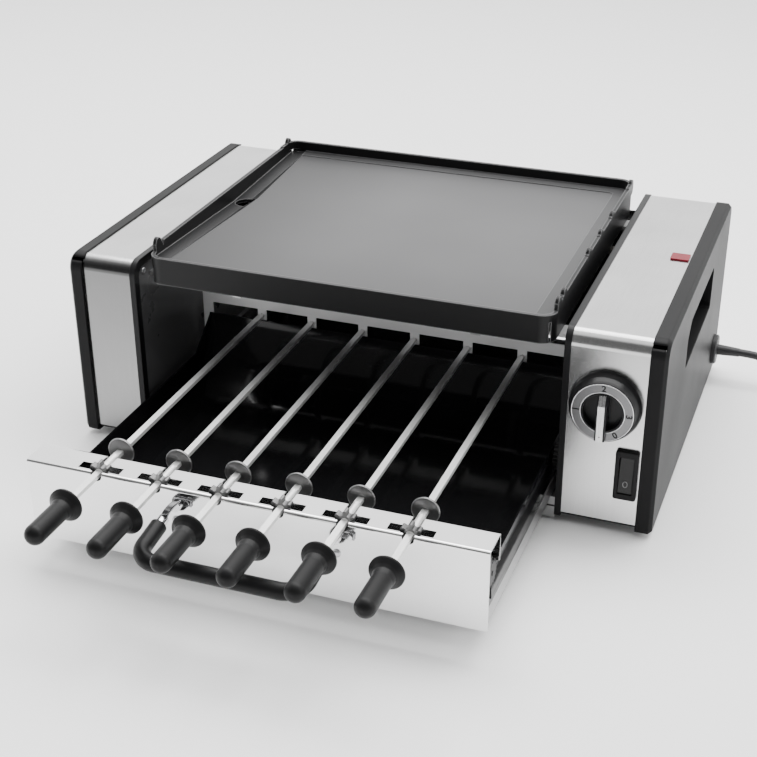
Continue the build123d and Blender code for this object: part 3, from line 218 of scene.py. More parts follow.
def brushed_steel(name, light, dark, rough, stretch, scratch=0.28, anisotropy=0.0, streak=0.5, metallic=1.0,
                  bend=None, front=None):
    """Brushed metal: long narrow noise streaks, stretched along the grain, tint the colour, shift the
    roughness and give the bump; a slow cloud noise adds handling marks. For a sheet that turns down at the
    front, bend lists (normal Z, tone) pairs of painted light and shade on its bend, and front is the painted
    light and shade of its upright faces at foot_z and bend_z."""
    material = bpy.data.materials.new(name)
    material.use_nodes = True
    tree = material.node_tree
    shader = tree.nodes["Principled BSDF"]
    shader.inputs["Metallic"].default_value = metallic
    shader.inputs["Anisotropic"].default_value = anisotropy
    coords = tree.nodes.new("ShaderNodeTexCoord").outputs["Object"]
    mapping = tree.nodes.new("ShaderNodeMapping")
    mapping.inputs["Scale"].default_value = stretch
    tree.links.new(coords, mapping.inputs["Vector"])
    streaks = tree.nodes.new("ShaderNodeTexNoise")
    streaks.inputs["Scale"].default_value = 1.0
    streaks.inputs["Detail"].default_value = 7.0
    streaks.inputs["Roughness"].default_value = 0.65
    tree.links.new(mapping.outputs["Vector"], streaks.inputs["Vector"])
    cloud = tree.nodes.new("ShaderNodeTexNoise")
    cloud.inputs["Scale"].default_value = 14.0
    cloud.inputs["Detail"].default_value = 3.0
    tree.links.new(coords, cloud.inputs["Vector"])
    both = tree.nodes.new("ShaderNodeMix")
    both.data_type = "FLOAT"
    both.inputs["Factor"].default_value = streak
    tree.links.new(cloud.outputs["Fac"], both.inputs["A"])
    tree.links.new(streaks.outputs["Fac"], both.inputs["B"])
    tint = tree.nodes.new("ShaderNodeValToRGB")
    tint.color_ramp.elements[0].position = 0.3
    tint.color_ramp.elements[0].color = (*dark, 1)
    tint.color_ramp.elements[1].position = 0.7
    tint.color_ramp.elements[1].color = (*light, 1)
    tree.links.new(both.outputs["Result"], tint.inputs["Fac"])
    tree.links.new(tint.outputs["Color"], shader.inputs["Base Color"])
    # painted light and shade: the tint is scaled by a tone from the normal's slope on the bend and from the
    # height on upright faces
    if bend:
        facing = tree.nodes.new("ShaderNodeSeparateXYZ")
        tree.links.new(tree.nodes.new("ShaderNodeNewGeometry").outputs["Normal"], facing.inputs["Vector"])
        place = tree.nodes.new("ShaderNodeSeparateXYZ")
        tree.links.new(coords, place.inputs["Vector"])
        slope = tree.nodes.new("ShaderNodeValToRGB")
        for index, (level, tone) in enumerate(bend):
            if index > 1:
                slope.color_ramp.elements.new(level)
            slope.color_ramp.elements[index].position = level
            slope.color_ramp.elements[index].color = (tone, tone, tone, 1)
        tree.links.new(facing.outputs["Z"], slope.inputs["Fac"])
        fade = tree.nodes.new("ShaderNodeMapRange")
        fade.inputs["From Min"].default_value = foot_z
        fade.inputs["From Max"].default_value = bend_z
        fade.inputs["To Min"].default_value = front[0]
        fade.inputs["To Max"].default_value = front[1]
        tree.links.new(place.outputs["Z"], fade.inputs["Value"])
        upright = tree.nodes.new("ShaderNodeMapRange")
        upright.inputs["From Min"].default_value = 0.12
        upright.inputs["From Max"].default_value = 0.0
        tree.links.new(facing.outputs["Z"], upright.inputs["Value"])
        tone = tree.nodes.new("ShaderNodeMix")
        tone.data_type = "FLOAT"
        tree.links.new(upright.outputs["Result"], tone.inputs["Factor"])
        tree.links.new(slope.outputs["Color"], tone.inputs["A"])
        tree.links.new(fade.outputs["Result"], tone.inputs["B"])
        toned = tree.nodes.new("ShaderNodeVectorMath")
        toned.operation = "SCALE"
        tree.links.new(tint.outputs["Color"], toned.inputs["Vector"])
        tree.links.new(tone.outputs["Result"], toned.inputs["Scale"])
        tree.links.new(toned.outputs["Vector"], shader.inputs["Base Color"])
    gloss = tree.nodes.new("ShaderNodeMapRange")
    gloss.inputs["From Min"].default_value = 0.3
    gloss.inputs["From Max"].default_value = 0.7
    gloss.inputs["To Min"].default_value = rough[0]
    gloss.inputs["To Max"].default_value = rough[1]
    tree.links.new(both.outputs["Result"], gloss.inputs["Value"])
    tree.links.new(gloss.outputs["Result"], shader.inputs["Roughness"])
    bump = tree.nodes.new("ShaderNodeBump")
    bump.inputs["Strength"].default_value = scratch
    bump.inputs["Distance"].default_value = 0.00006
    tree.links.new(streaks.outputs["Fac"], bump.inputs["Height"])
    tree.links.new(bump.outputs["Normal"], shader.inputs["Normal"])
    return material


# painted light and shade: both bends are painted darker below the top, the left far more; the left front is
# painted darker towards its top, and the right front lighter towards its foot and darker towards its top
painted_shade_bend = ((0.0, 0.16), (0.45, 0.16), (0.75, 0.34), (0.93, 0.62), (1.0, 1.0))
painted_light_and_shade_bend = ((0.0, 1.0), (0.5, 0.9), (0.9, 0.7), (1.0, 1.0))
paint("left_steel_wrap", brushed_steel("left_wrap_steel_painted_shade", (0.66, 0.66, 0.66), (0.50, 0.50, 0.50),
                                       (0.16, 0.27), (3600, 24, 24), 0.22, bend=painted_shade_bend,
                                       front=(0.52, 0.30)))
paint("right_steel_wrap", brushed_steel("right_wrap_steel_painted_light_and_shade", (0.66, 0.66, 0.66), (0.50, 0.50, 0.50),
                                        (0.16, 0.27), (3600, 24, 24), 0.22, bend=painted_light_and_shade_bend,
                                        front=(1.35, 0.75)))

# ---- Inner trims and base covers -------------------------------------------
# Smooth black plastic frames round the cavity sides of both casings, and the
# flat covers that close the casings below.
trim_plastic = finish_material("trim_plastic", (0.006, 0.006, 0.0065), (0.010, 0.010, 0.0105), (0.28, 0.42),
                               scale=1800, strength=0.1, ior=1.25, edge_width=0.0012)
for name in ("left_inner_trim", "right_inner_trim", "base_covers"):
    paint(name, trim_plastic)

# ---- Feet ------------------------------------------------------------------
# Four pushed-in black rubber feet, dull and slightly dusty.
foot_rubber = finish_material("foot_rubber", (0.02, 0.02, 0.02), (0.05, 0.05, 0.048), (0.7, 0.9), scale=1200,
                              strength=0.3, specular=0.3)
paint("rubber_feet", foot_rubber)

# ---- Cavity ----------------------------------------------------------------
# The inner walls are semi-bright enamelled sheet with a pressed slide ridge.
# The floor and rear panels are stainless. The reflector is black enamel.
wall_sheet = finish_material("wall_sheet", (0.07, 0.07, 0.072), (0.12, 0.12, 0.122), (0.24, 0.38), scale=60,
                             strength=0.05, distance=0.0004, cloud=12.0)
for name in ("left_inner_wall", "right_inner_wall"):
    paint(name, wall_sheet)
floor_steel = brushed_steel("floor_steel", (0.50, 0.50, 0.50), (0.36, 0.36, 0.36), (0.16, 0.28),
                            (60, 900, 60), 0.12, streak=0.4)
for name in ("floor_plate", "rear_panel"):
    paint(name, floor_steel)
black_enamel = finish_material("black_enamel", (0.004, 0.004, 0.0045), (0.008, 0.008, 0.0085), (0.06, 0.14),
                               scale=140, strength=0.06, distance=0.0005, ior=1.33, cloud=20.0)
paint("heat_reflector", black_enamel)
bracket_steel = brushed_steel("bracket_steel", (0.60, 0.60, 0.60), (0.42, 0.42, 0.42), (0.3, 0.5),
                              (300, 300, 300), 0.2, streak=0.3)
paint("cavity_brackets", bracket_steel)
element_sheath = finish_material("element_sheath", (0.05, 0.047, 0.043), (0.14, 0.13, 0.12), (0.5, 0.7),
                                 metallic=0.8, scale=500, strength=0.3, cloud=40.0)
paint("heating_element", element_sheath)
motor_zinc = finish_material("motor_zinc", (0.32, 0.32, 0.33), (0.46, 0.46, 0.47), (0.35, 0.55),
                             metallic=1.0, scale=300, strength=0.15, cloud=60.0)
for name in ("gearmotor", "thermostat"):
    paint(name, motor_zinc)

# ---- Casing screws ---------------------------------------------------------
# Zinc-plated pan-head screws with a cross recess. They hold the inner walls to
# the casings and the rear panel to the walls.
def surface(name, points, material, body, ring=False):
    """A grid of points (rows x columns x 3) as a mesh whose columns run round a closed loop. Each cell is a
    quad. ring also joins the last row to the first; otherwise an end row that isn't one point gets an end
    face."""
    rows, columns = points.shape[:2]
    number = np.arange(rows * columns).reshape(rows, columns)
    onward = np.roll(number, -1, axis=1)
    below, below_onward = np.roll(number, -1, axis=0), np.roll(onward, -1, axis=0)
    count = rows if ring else rows - 1
    faces = np.stack([number, onward, below_onward, below], -1)[:count].reshape(-1, 4).tolist()
    if not ring and np.ptp(points[0], axis=0).max() > 1e-7:
        faces.append(number[0][::-1].tolist())
    if not ring and np.ptp(points[-1], axis=0).max() > 1e-7:
        faces.append(number[-1].tolist())
    mesh = bpy.data.meshes.new(name)
    mesh.from_pydata(points.reshape(-1, 3).tolist(), [], faces)
    mesh.calc_loop_triangles()
    corners = np.array([triangle.vertices[:] for triangle in mesh.loop_triangles])
    first, second, third = (points.reshape(-1, 3)[corners[:, k]] for k in range(3))
    if np.einsum("ij,ij->i", first, np.cross(second, third)).sum() < 0:
        mesh.flip_normals()
    mesh.materials.append(material)
    mesh.shade_smooth()
    piece = bpy.data.objects.new(name, mesh)
    bpy.context.scene.collection.objects.link(piece)
    poles = piece.modifiers.new("close_poles", "WELD")
    poles.merge_threshold = 0.000002
    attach(piece, body)
    return piece


def facing_frame(outward):
    """Two directions across a face whose outward direction is given, so that across x along = outward."""
    outward = np.array(outward, float)
    along = np.array((0, 0, 1.0)) if abs(outward[2]) < 0.9 else np.array((0, 1.0, 0))
    across = np.cross(along, outward)
    return across, along, outward


def screw_head(name, place, outward, radius, body="grill_body", cross=True):
    """Pan head: height = 0.62 r sqrt(1 - (d / r)^4) over the face, less a cross recess of tapering arms."""
    across, along, outward = facing_frame(outward)
    share, turn = np.meshgrid(np.linspace(0, 1, 22), np.linspace(0, 2 * np.pi, 64, endpoint=False),
                              indexing="ij")
    distance = radius * np.sin(share * np.pi / 2)
    x, y = distance * np.cos(turn), distance * np.sin(turn)
    height = 0.62 * radius * np.sqrt(np.clip(1 - (distance / radius) ** 4, 0, 1))
    if cross:
        arm = np.minimum(np.abs(x), np.abs(y)) / (0.13 * radius)
        reach = distance / (0.62 * radius)
        height -= 0.34 * radius * np.clip(1.6 - arm**2, 0, 1) * np.clip(1.4 - reach**2, 0, 1)
    points = np.array(place) + x[..., None] * across + y[..., None] * along + height[..., None] * outward
    return surface(name, points, screw_zinc, body)


screw_zinc = finish_material("screw_zinc", (0.42, 0.42, 0.43), (0.62, 0.62, 0.63), (0.24, 0.38), metallic=1.0,
                             scale=700, strength=0.1, cloud=300.0)
front_y = box_of("left_steel_wrap")[0][1]
wall_screw_radius, rear_screw_radius, rear_screw_inset = 0.0026, 0.0030, 0.012
wall_sheet_thickness = 0.0012
left_wall_x = box_of("left_inner_wall")[0][0] + wall_sheet_thickness
right_wall_x = box_of("right_inner_wall")[1][0] - wall_sheet_thickness
for side, wall_x, outward in (("left", left_wall_x, (1, 0, 0)), ("right", right_wall_x, (-1, 0, 0))):
    for level, from_front, screw_z in (("upper", 0.0150, 0.1540), ("lower", 0.0210, 0.0295)):
        screw_head(f"{side}_wall_{level}_screw", (wall_x, front_y + from_front, screw_z), outward,
                   wall_screw_radius)
rear_face_y = box_of("rear_panel")[1][1]
rear_screw_x = np.linspace(left_wall_x + rear_screw_inset, right_wall_x - rear_screw_inset, 4)
for number, screw_x in enumerate(rear_screw_x, 1):
    for level, screw_z in (("upper", 0.1400), ("lower", 0.0200)):
        screw_head(f"rear_{level}_screw_{number}", (screw_x, rear_face_y, screw_z), (0, 1, 0),
                   rear_screw_radius)

# ---- Griddle pan -----------------------------------------------------------
# A die-cast aluminium pan with a grey non-stick coating that has a fine
# orange-peel surface. The machined plate is paler than the satin black skirt.
plate_z, wall_top_z = 0.170, 0.1721


def pan_coating():
    """Non-stick coating: black walls, a grey border and trough, and the paler plate between them, told apart
    by height and slope. The plate carries painted shade, darker towards the trough, the front and the back,
    sharp edges are painted pale as rubbed wear and painted edge highlight, and a fine noise gives the orange
    peel."""
    material = bpy.data.materials.new("pan_coating")
    material.use_nodes = True
    tree = material.node_tree
    shader = tree.nodes["Principled BSDF"]
    shader.inputs["IOR"].default_value = 1.28
    coords = tree.nodes.new("ShaderNodeTexCoord").outputs["Object"]
    place = tree.nodes.new("ShaderNodeSeparateXYZ")
    tree.links.new(coords, place.inputs["Vector"])
    facing = tree.nodes.new("ShaderNodeSeparateXYZ")
    geometry = tree.nodes.new("ShaderNodeNewGeometry")
    tree.links.new(geometry.outputs["True Normal"], facing.inputs["Vector"])
    upness = tree.nodes.new("ShaderNodeMapRange")
    upness.inputs["From Min"].default_value = 0.80
    upness.inputs["From Max"].default_value = 0.995
    tree.links.new(facing.outputs["Z"], upness.inputs["Value"])
    # faces up to just above wall_top_z take the plate colours, so the front rim's top is painted grey rather
    # than black, as worn coating and a painted edge highlight
    low_enough = tree.nodes.new("ShaderNodeMapRange")
    low_enough.inputs["From Min"].default_value = wall_top_z + 0.00005
    low_enough.inputs["From Max"].default_value = wall_top_z + 0.00025
    low_enough.inputs["To Min"].default_value = 1.0
    low_enough.inputs["To Max"].default_value = 0.0
    tree.links.new(place.outputs["Z"], low_enough.inputs["Value"])
    plate = tree.nodes.new("ShaderNodeMath")
    plate.operation = "MULTIPLY"
    tree.links.new(upness.outputs["Result"], plate.inputs[0])
    tree.links.new(low_enough.outputs["Result"], plate.inputs[1])
    cloud = tree.nodes.new("ShaderNodeTexNoise")
    cloud.inputs["Scale"].default_value = 9.0
    cloud.inputs["Detail"].default_value = 4.0
    tree.links.new(coords, cloud.inputs["Vector"])
    pale = tree.nodes.new("ShaderNodeMix")
    pale.data_type = "RGBA"
    pale.inputs["A"].default_value = (0.072, 0.072, 0.0735, 1)
    pale.inputs["B"].default_value = (0.100, 0.100, 0.102, 1)
    tree.links.new(cloud.outputs["Fac"], pale.inputs["Factor"])
    levels = tree.nodes.new("ShaderNodeValToRGB")
    level = tree.nodes.new("ShaderNodeMapRange")
    level.inputs["From Min"].default_value = plate_z - 0.001
    level.inputs["From Max"].default_value = plate_z + 0.001
    tree.links.new(place.outputs["Z"], level.inputs["Value"])
    tree.links.new(level.outputs["Result"], levels.inputs["Fac"])
    levels.color_ramp.elements[0].position = 0.40
    levels.color_ramp.elements[0].color = (0.36, 0.36, 0.36, 1)
    levels.color_ramp.elements[1].position = 0.95
    levels.color_ramp.elements[1].color = (0.62, 0.62, 0.62, 1)
    for position in (0.47, 0.58):
        levels.color_ramp.elements.new(position).color = (1, 1, 1, 1)
    # painted shade: the plate is darkened towards the trough, the front and the back, standing in for shade
    # and dark reflections
    painted_shade_and_level_tones = []
    painted_shade_fades = (("X", -0.02, -0.16, 0.50), ("Y", 0.07, -0.02, 0.80), ("Y", 0.15, 0.27, 0.82))
    for axis, unshaded, dark, least in painted_shade_fades:
        fade = tree.nodes.new("ShaderNodeMapRange")
        fade.interpolation_type = "SMOOTHSTEP"
        fade.inputs["From Min"].default_value = min(unshaded, dark)
        fade.inputs["From Max"].default_value = max(unshaded, dark)
        fade.inputs["To Min"].default_value = least if dark < unshaded else 1.0
        fade.inputs["To Max"].default_value = 1.0 if dark < unshaded else least
        tree.links.new(place.outputs[axis], fade.inputs["Value"])
        painted_shade_and_level_tones.append(fade.outputs["Result"])
    painted_shade_and_level_tones.append(levels.outputs["Color"])
    tone = painted_shade_and_level_tones[0]
    for factor in painted_shade_and_level_tones[1:]:
        product = tree.nodes.new("ShaderNodeMath")
        product.operation = "MULTIPLY"
        tree.links.new(tone, product.inputs[0])
        tree.links.new(factor, product.inputs[1])
        tone = product.outputs[0]
    toned = tree.nodes.new("ShaderNodeVectorMath")
    toned.operation = "SCALE"
    tree.links.new(pale.outputs["Result"], toned.inputs["Vector"])
    tree.links.new(tone, toned.inputs["Scale"])
    colour = tree.nodes.new("ShaderNodeMix")
    colour.data_type = "RGBA"
    colour.inputs["A"].default_value = (0.006, 0.006, 0.0063, 1)
    tree.links.new(toned.outputs["Vector"], colour.inputs["B"])
    tree.links.new(plate.outputs[0], colour.inputs["Factor"])
    # rubbed wear and painted edge highlight: sharp edges are painted pale
    ridge = tree.nodes.new("ShaderNodeBevel")
    ridge.samples = 6
    ridge.inputs["Radius"].default_value = 0.0012
    turned_away = tree.nodes.new("ShaderNodeVectorMath")
    turned_away.operation = "DOT_PRODUCT"
    tree.links.new(ridge.outputs["Normal"], turned_away.inputs[0])
    tree.links.new(geometry.outputs["True Normal"], turned_away.inputs[1])
    edge_wear_and_highlight = tree.nodes.new("ShaderNodeMapRange")
    edge_wear_and_highlight.inputs["From Min"].default_value = 0.995
    edge_wear_and_highlight.inputs["From Max"].default_value = 0.96
    edge_wear_and_highlight.inputs["To Max"].default_value = 0.8
    tree.links.new(turned_away.outputs["Value"], edge_wear_and_highlight.inputs["Value"])
    worn_and_highlit = tree.nodes.new("ShaderNodeMix")
    worn_and_highlit.data_type = "RGBA"
    worn_and_highlit.inputs["B"].default_value = (0.16, 0.16, 0.162, 1)
    tree.links.new(colour.outputs["Result"], worn_and_highlit.inputs["A"])
    tree.links.new(edge_wear_and_highlight.outputs["Result"], worn_and_highlit.inputs["Factor"])
    tree.links.new(worn_and_highlit.outputs["Result"], shader.inputs["Base Color"])
    peel = tree.nodes.new("ShaderNodeTexNoise")
    peel.inputs["Scale"].default_value = 1100.0
    peel.inputs["Detail"].default_value = 3.0
    tree.links.new(coords, peel.inputs["Vector"])
    bump = tree.nodes.new("ShaderNodeBump")
    bump.inputs["Strength"].default_value = 0.22
    bump.inputs["Distance"].default_value = 0.00012
    tree.links.new(peel.outputs["Fac"], bump.inputs["Height"])
    rounded = tree.nodes.new("ShaderNodeBevel")
    rounded.samples = 4
    rounded.inputs["Radius"].default_value = 0.0012
    tree.links.new(rounded.outputs["Normal"], bump.inputs["Normal"])
    tree.links.new(bump.outputs["Normal"], shader.inputs["Normal"])
    gloss = tree.nodes.new("ShaderNodeMapRange")
    gloss.inputs["To Min"].default_value = 0.34
    gloss.inputs["To Max"].default_value = 0.46
    tree.links.new(peel.outputs["Fac"], gloss.inputs["Value"])
    tree.links.new(gloss.outputs["Result"], shader.inputs["Roughness"])
    return material


paint("griddle_pan", pan_coating())

# ---- Drawer ----------------------------------------------------------------
# The front is one folded channel of mirror-bright stainless sheet, slotted for
# the skewers. A comb carries their tips at the back, plain strips join the
# two, and a glossy black enamelled tray hangs in between.
mirror_steel = brushed_steel("mirror_steel", (0.90, 0.90, 0.90), (0.82, 0.82, 0.82), (0.05, 0.11),
                             (20, 20, 20), 0.03, streak=0.2)
paint("drawer_front", mirror_steel)
bright_steel = brushed_steel("bright_steel", (0.92, 0.92, 0.92), (0.80, 0.80, 0.80), (0.32, 0.48),
                             (40, 40, 700), 0.1, streak=0.3, metallic=0.45)
paint("rear_comb", bright_steel)
strip_steel = brushed_steel("strip_steel", (0.42, 0.42, 0.42), (0.28, 0.28, 0.28), (0.24, 0.36),
                            (40, 12, 700), 0.1, streak=0.4)
paint("side_plates", strip_steel)
paint("drip_tray", black_enamel)
dark_plate = finish_material("dark_plate", (0.015, 0.015, 0.016), (0.035, 0.035, 0.036), (0.35, 0.5),
                             metallic=0.4, scale=400, strength=0.1, ior=1.3)
paint("shaft_bearings", dark_plate)

# ---- Drawer handle ---------------------------------------------------------
# A bent chrome tube in a black heat-proof sleeve. Its flattened ends are held
# by two small pressed straps with one screw each.
sleeve_plastic = finish_material("sleeve_plastic", (0.004, 0.004, 0.0042), (0.007, 0.007, 0.0073),
                                 (0.34, 0.46), scale=2200, strength=0.12, ior=1.24, edge_width=0.001)
paint("handle_sleeve", sleeve_plastic)
chrome = finish_material("chrome", (0.74, 0.74, 0.75), (0.84, 0.84, 0.85), (0.05, 0.16), metallic=1.0,
                         scale=400, strength=0.05, cloud=80.0)
for name in ("handle_tube", "handle_screws"):
    paint(name, chrome)


def ribbon(name, controls, width, thickness, across, material, body):
    """A strip bent along a Bezier curve: centre(t) = sum of C(n, i) t^i (1 - t)^(n - i) times control i. Its
    section is a rectangle with rounded corners, |x / a|^5 + |y / b|^5 = 1, kept square to the curve."""
    controls = np.array(controls, float)
    degree = len(controls) - 1
    t = np.linspace(0, 1, 28)[:, None]
    share = np.array([math.comb(degree, i) for i in range(degree + 1)])
    power = np.arange(degree + 1)
    centre = (share * t**power * (1 - t) ** (degree - power)) @ controls
    tangent = np.gradient(centre, axis=0)
    tangent /= np.linalg.norm(tangent, axis=1, keepdims=True)
    thick = np.cross(tangent, np.array(across, float))
    thick /= np.linalg.norm(thick, axis=1, keepdims=True)
    wide = np.cross(thick, tangent)
    turn = np.linspace(0, 2 * np.pi, 24, endpoint=False)
    x = width / 2 * np.sign(np.cos(turn)) * np.abs(np.cos(turn)) ** 0.4
    y = thickness / 2 * np.sign(np.sin(turn)) * np.abs(np.sin(turn)) ** 0.4
    points = centre[:, None] + x[None, :, None] * wide[:, None] + y[None, :, None] * thick[:, None]
    return surface(name, points, material, body)


strap_metal = finish_material("strap_metal", (0.20, 0.20, 0.205), (0.34, 0.34, 0.345), (0.14, 0.26),
                              metallic=1.0, scale=500, strength=0.08, cloud=90.0)
panel_y = box_of("drawer_front")[0][1]
middle_x = (box_of("drawer_front")[0][0] + box_of("drawer_front")[1][0]) / 2
half_span, bolt_radius = 0.061, 0.0031
straps = []
for side, root_x in (("left", middle_x - half_span), ("right", middle_x + half_span)):
    arm = [(0.0095, -0.0009, 0.0760), (0.0085, -0.0030, 0.0765), (0.0045, -0.0080, 0.0735),
           (0.0015, -0.0105, 0.0680), (0.0005, -0.0095, 0.0625)]
    straps.append(ribbon(f"{side}_strap_arm", [(root_x + x, panel_y + y, z) for x, y, z in arm], 0.0052,
                         0.0016, (1, 0, 0.25), strap_metal, "drawer"))
    foot_line = [(0.0055, -0.0009, 0.0757), (0.0120, -0.0009, 0.0757), (0.0190, -0.0009, 0.0752)]
    straps.append(ribbon(f"{side}_strap_foot", [(root_x + x, panel_y + y, z) for x, y, z in foot_line],
                         0.0056, 0.0014, (0, 0, 1), strap_metal, "drawer"))
    screw_head(f"{side}_tube_bolt", (root_x + 0.0055, panel_y, 0.0585), (0, -1, 0), bolt_radius,
               "drawer", cross=False)
for strap in straps:
    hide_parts("handle_straps")

# ---- Skewers ---------------------------------------------------------------
# Flat stainless blades with a pressed star gear and a cupped guard disc, and
# black satin grips with a broad flange.
blade_steel = brushed_steel("blade_steel", (0.86, 0.86, 0.85), (0.70, 0.70, 0.69), (0.26, 0.42),
                            (900, 60, 900), 0.2, metallic=0.7)
disc_steel = brushed_steel("disc_steel", (0.25, 0.25, 0.25), (0.13, 0.13, 0.13), (0.30, 0.42), (90, 90, 90),
                           0.06, streak=0.3)
rim_steel = brushed_steel("rim_steel", (0.50, 0.50, 0.50), (0.38, 0.38, 0.38), (0.24, 0.34),
                          (300, 300, 300), 0.1, streak=0.3)


def turned(name, profile, centre, material, body, segments=72, ring=True):
    """A profile of (radius, y) points turned about the Y axis through centre; ring closes the profile on
    itself."""
    profile = np.array(profile, float)
    turn = np.linspace(0, 2 * np.pi, segments, endpoint=False)
    x = centre[0] + profile[:, :1] * np.cos(turn)
    z = centre[2] + profile[:, :1] * np.sin(turn)
    y = centre[1] + np.broadcast_to(profile[:, 1:], x.shape)
    return surface(name, np.stack([x, y, z], -1), material, body, ring)


def wire_ring(radius, wire, count=12):
    """Profile of a round wire bent to a hoop."""
    turn = np.linspace(0, 2 * np.pi, count, endpoint=False)
    return np.stack([radius + wire * np.cos(turn), wire * np.sin(turn)], -1)


dish_bore, dish_back, hoop_wire = 0.0027, 0.0002, 0.0003
for number in range(1, 7):
    paint(f"skewer_{number}_blade", blade_steel)
    paint(f"skewer_{number}_star_and_disc", disc_steel)
    paint(f"skewer_{number}_handle", sleeve_plastic)
    disc_low, disc_high = box_of(f"skewer_{number}_star_and_disc")
    disc_radius = (disc_high[2] - disc_low[2]) / 2
    disc_centre = ((disc_low[0] + disc_high[0]) / 2, disc_high[1] - 0.001, (disc_low[2] + disc_high[2]) / 2)
    dish_edge = disc_radius - 2 * hoop_wire
    out = np.linspace(dish_bore, dish_edge, 14)
    bulge = -0.0001 - 0.0009 * (1 - (out / disc_radius) ** 2)
    dish = list(zip(out, bulge)) + [(dish_edge, dish_back), (dish_bore, dish_back)]
    turned(f"skewer_{number}_disc_dish", dish, disc_centre, disc_steel, f"skewer_{number}")
    turned(f"skewer_{number}_disc_rim", wire_ring(disc_radius - hoop_wire, hoop_wire), disc_centre, rim_steel,
           f"skewer_{number}")

# ---- Skewer drive ----------------------------------------------------------
# A steel shaft with six worms inside the drawer front, and moulded wheels.
for name in ("drive_shaft", "drive_gears"):
    paint(name, dark_plate)
gear_nylon = finish_material("gear_nylon", (0.010, 0.010, 0.010), (0.020, 0.020, 0.020), (0.35, 0.5),
                             scale=800, strength=0.1, ior=1.35)
for name in ("transfer_gear", "motor_gear"):
    paint(name, gear_nylon)

# ---- Controls --------------------------------------------------------------
# A black knob with a satin silver pointer turns inside a fixed conical bezel
# with a silver dial. Below it sits a black rocker; a red lens is on top.
knob_plastic = finish_material("knob_plastic", (0.006, 0.006, 0.0065), (0.010, 0.010, 0.0105), (0.26, 0.36),
                               scale=1600, strength=0.04, ior=1.3, edge_width=0.0008)
for name in ("knob_bezel", "control_knob"):
    paint(name, knob_plastic)
paint("switch_housing", sleeve_plastic)
rocker_plastic = finish_material("rocker_plastic", (0.003, 0.003, 0.003), (0.005, 0.005, 0.005),
                                 (0.12, 0.2), scale=1200, strength=0.02, ior=1.35, edge_width=0.0006)
paint("power_rocker", rocker_plastic)
dial_silver = brushed_steel("dial_silver", (0.22, 0.22, 0.223), (0.15, 0.15, 0.153), (0.28, 0.40),
                            (700, 700, 700), 0.1, streak=0.4)
paint("dial_ring", dial_silver)
pointer_silver = brushed_steel("pointer_silver", (0.80, 0.80, 0.80), (0.66, 0.66, 0.66), (0.22, 0.34),
                               (2400, 300, 60), 0.2)
paint("knob_pointer", pointer_silver)
lens_red = finish_material("lens_red", (0.12, 0.002, 0.008), (0.24, 0.005, 0.020), (0.12, 0.22), scale=260,
                           strength=0.2, ior=1.3, edge_width=0.0008, cloud=120.0)
paint("lamp_lens", lens_red)
dial_low, dial_high = box_of("dial_ring")
dial_centre = np.array(((dial_low[0] + dial_high[0]) / 2, dial_low[1], (dial_low[2] + dial_high[2]) / 2))
dial_edge = (dial_high[0] - dial_low[0]) / 2
bore_edge = (box_of("control_knob")[1][0] - box_of("control_knob")[0][0]) / 2
bead_wire = 0.00035
for name, bead_radius in (("dial_outer_bead", dial_edge - 0.0002), ("dial_inner_bead", bore_edge + 0.0006)):
    turned(name, wire_ring(bead_radius, bead_wire), dial_centre, chrome, "grill_body", 96)
print_black = finish_material("print_black", (0.008, 0.008, 0.008), (0.014, 0.014, 0.014), (0.5, 0.6),
                              scale=900, specular=0.2)
print_pale = finish_material("print_pale", (0.14, 0.14, 0.14), (0.20, 0.20, 0.20), (0.5, 0.6), scale=900)


def numeral(name, text, turn, radius, size):
    """A printed numeral on the dial: its own flat outline, turned so that its foot points at the knob's
    axis."""
    outline = bpy.data.curves.new(name, "FONT")
    outline.body = text
    outline.size = size
    outline.align_x, outline.align_y = "CENTER", "CENTER"
    outline.extrude = 0.00004
    outline.offset = 0.00022
    shape = bpy.data.objects.new(name + "_outline", outline)
    bpy.context.scene.collection.objects.link(shape)
    bpy.context.view_layer.update()
    mesh = bpy.data.meshes.new_from_object(shape.evaluated_get(bpy.context.evaluated_depsgraph_get()))
    bpy.data.objects.remove(shape)
    flat = np.empty(len(mesh.vertices) * 3, np.float32)
    mesh.vertices.foreach_get("co", flat)
    flat = flat.reshape(-1, 3)
    x, up = flat[:, 0], flat[:, 1] + radius
    placed = np.stack([dial_centre[0] + x * math.cos(turn) + up * math.sin(turn),
                       dial_centre[1] - 0.00005 - flat[:, 2],
                       dial_centre[2] - x * math.sin(turn) + up * math.cos(turn)], -1)
    mesh.vertices.foreach_set("co", placed.astype(np.float32).ravel())
    mesh.materials.clear()
    mesh.materials.append(print_black)
    piece = bpy.data.objects.new(name, mesh)
    bpy.context.scene.collection.objects.link(piece)
    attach(piece, "grill_body")


print_radius, print_height = (dial_edge + bore_edge) / 2, 0.0068
for text, turn in (("1", -90), ("2", 0), ("3", 90), ("0", 148)):
    numeral(f"dial_numeral_{text}", text, math.radians(turn), print_radius, print_height)
pointer_low, pointer_high = box_of("knob_pointer")
mark = [(0.0, -0.00012), (0.0005, -0.0001), (0.0006, 0.0001)]
turned("pointer_mark", mark,
       ((pointer_low[0] + pointer_high[0]) / 2, pointer_low[1], pointer_low[2] + 0.0042), print_black,
       "knob", 24, ring=False)
rocker_low, rocker_high = box_of("power_rocker")
rocker_x = (rocker_low[0] + rocker_high[0]) / 2
rocker_mid_z = (rocker_low[2] + rocker_high[2]) / 2
face_fall = -0.00196          # the rocker's face falls back by this much from its foot to its middle
slope = face_fall / (rocker_mid_z - rocker_low[2])
off_ring_radii, off_ring_wire, off_ring_rise = (0.0017, 0.0023), 0.0003, 0.0072
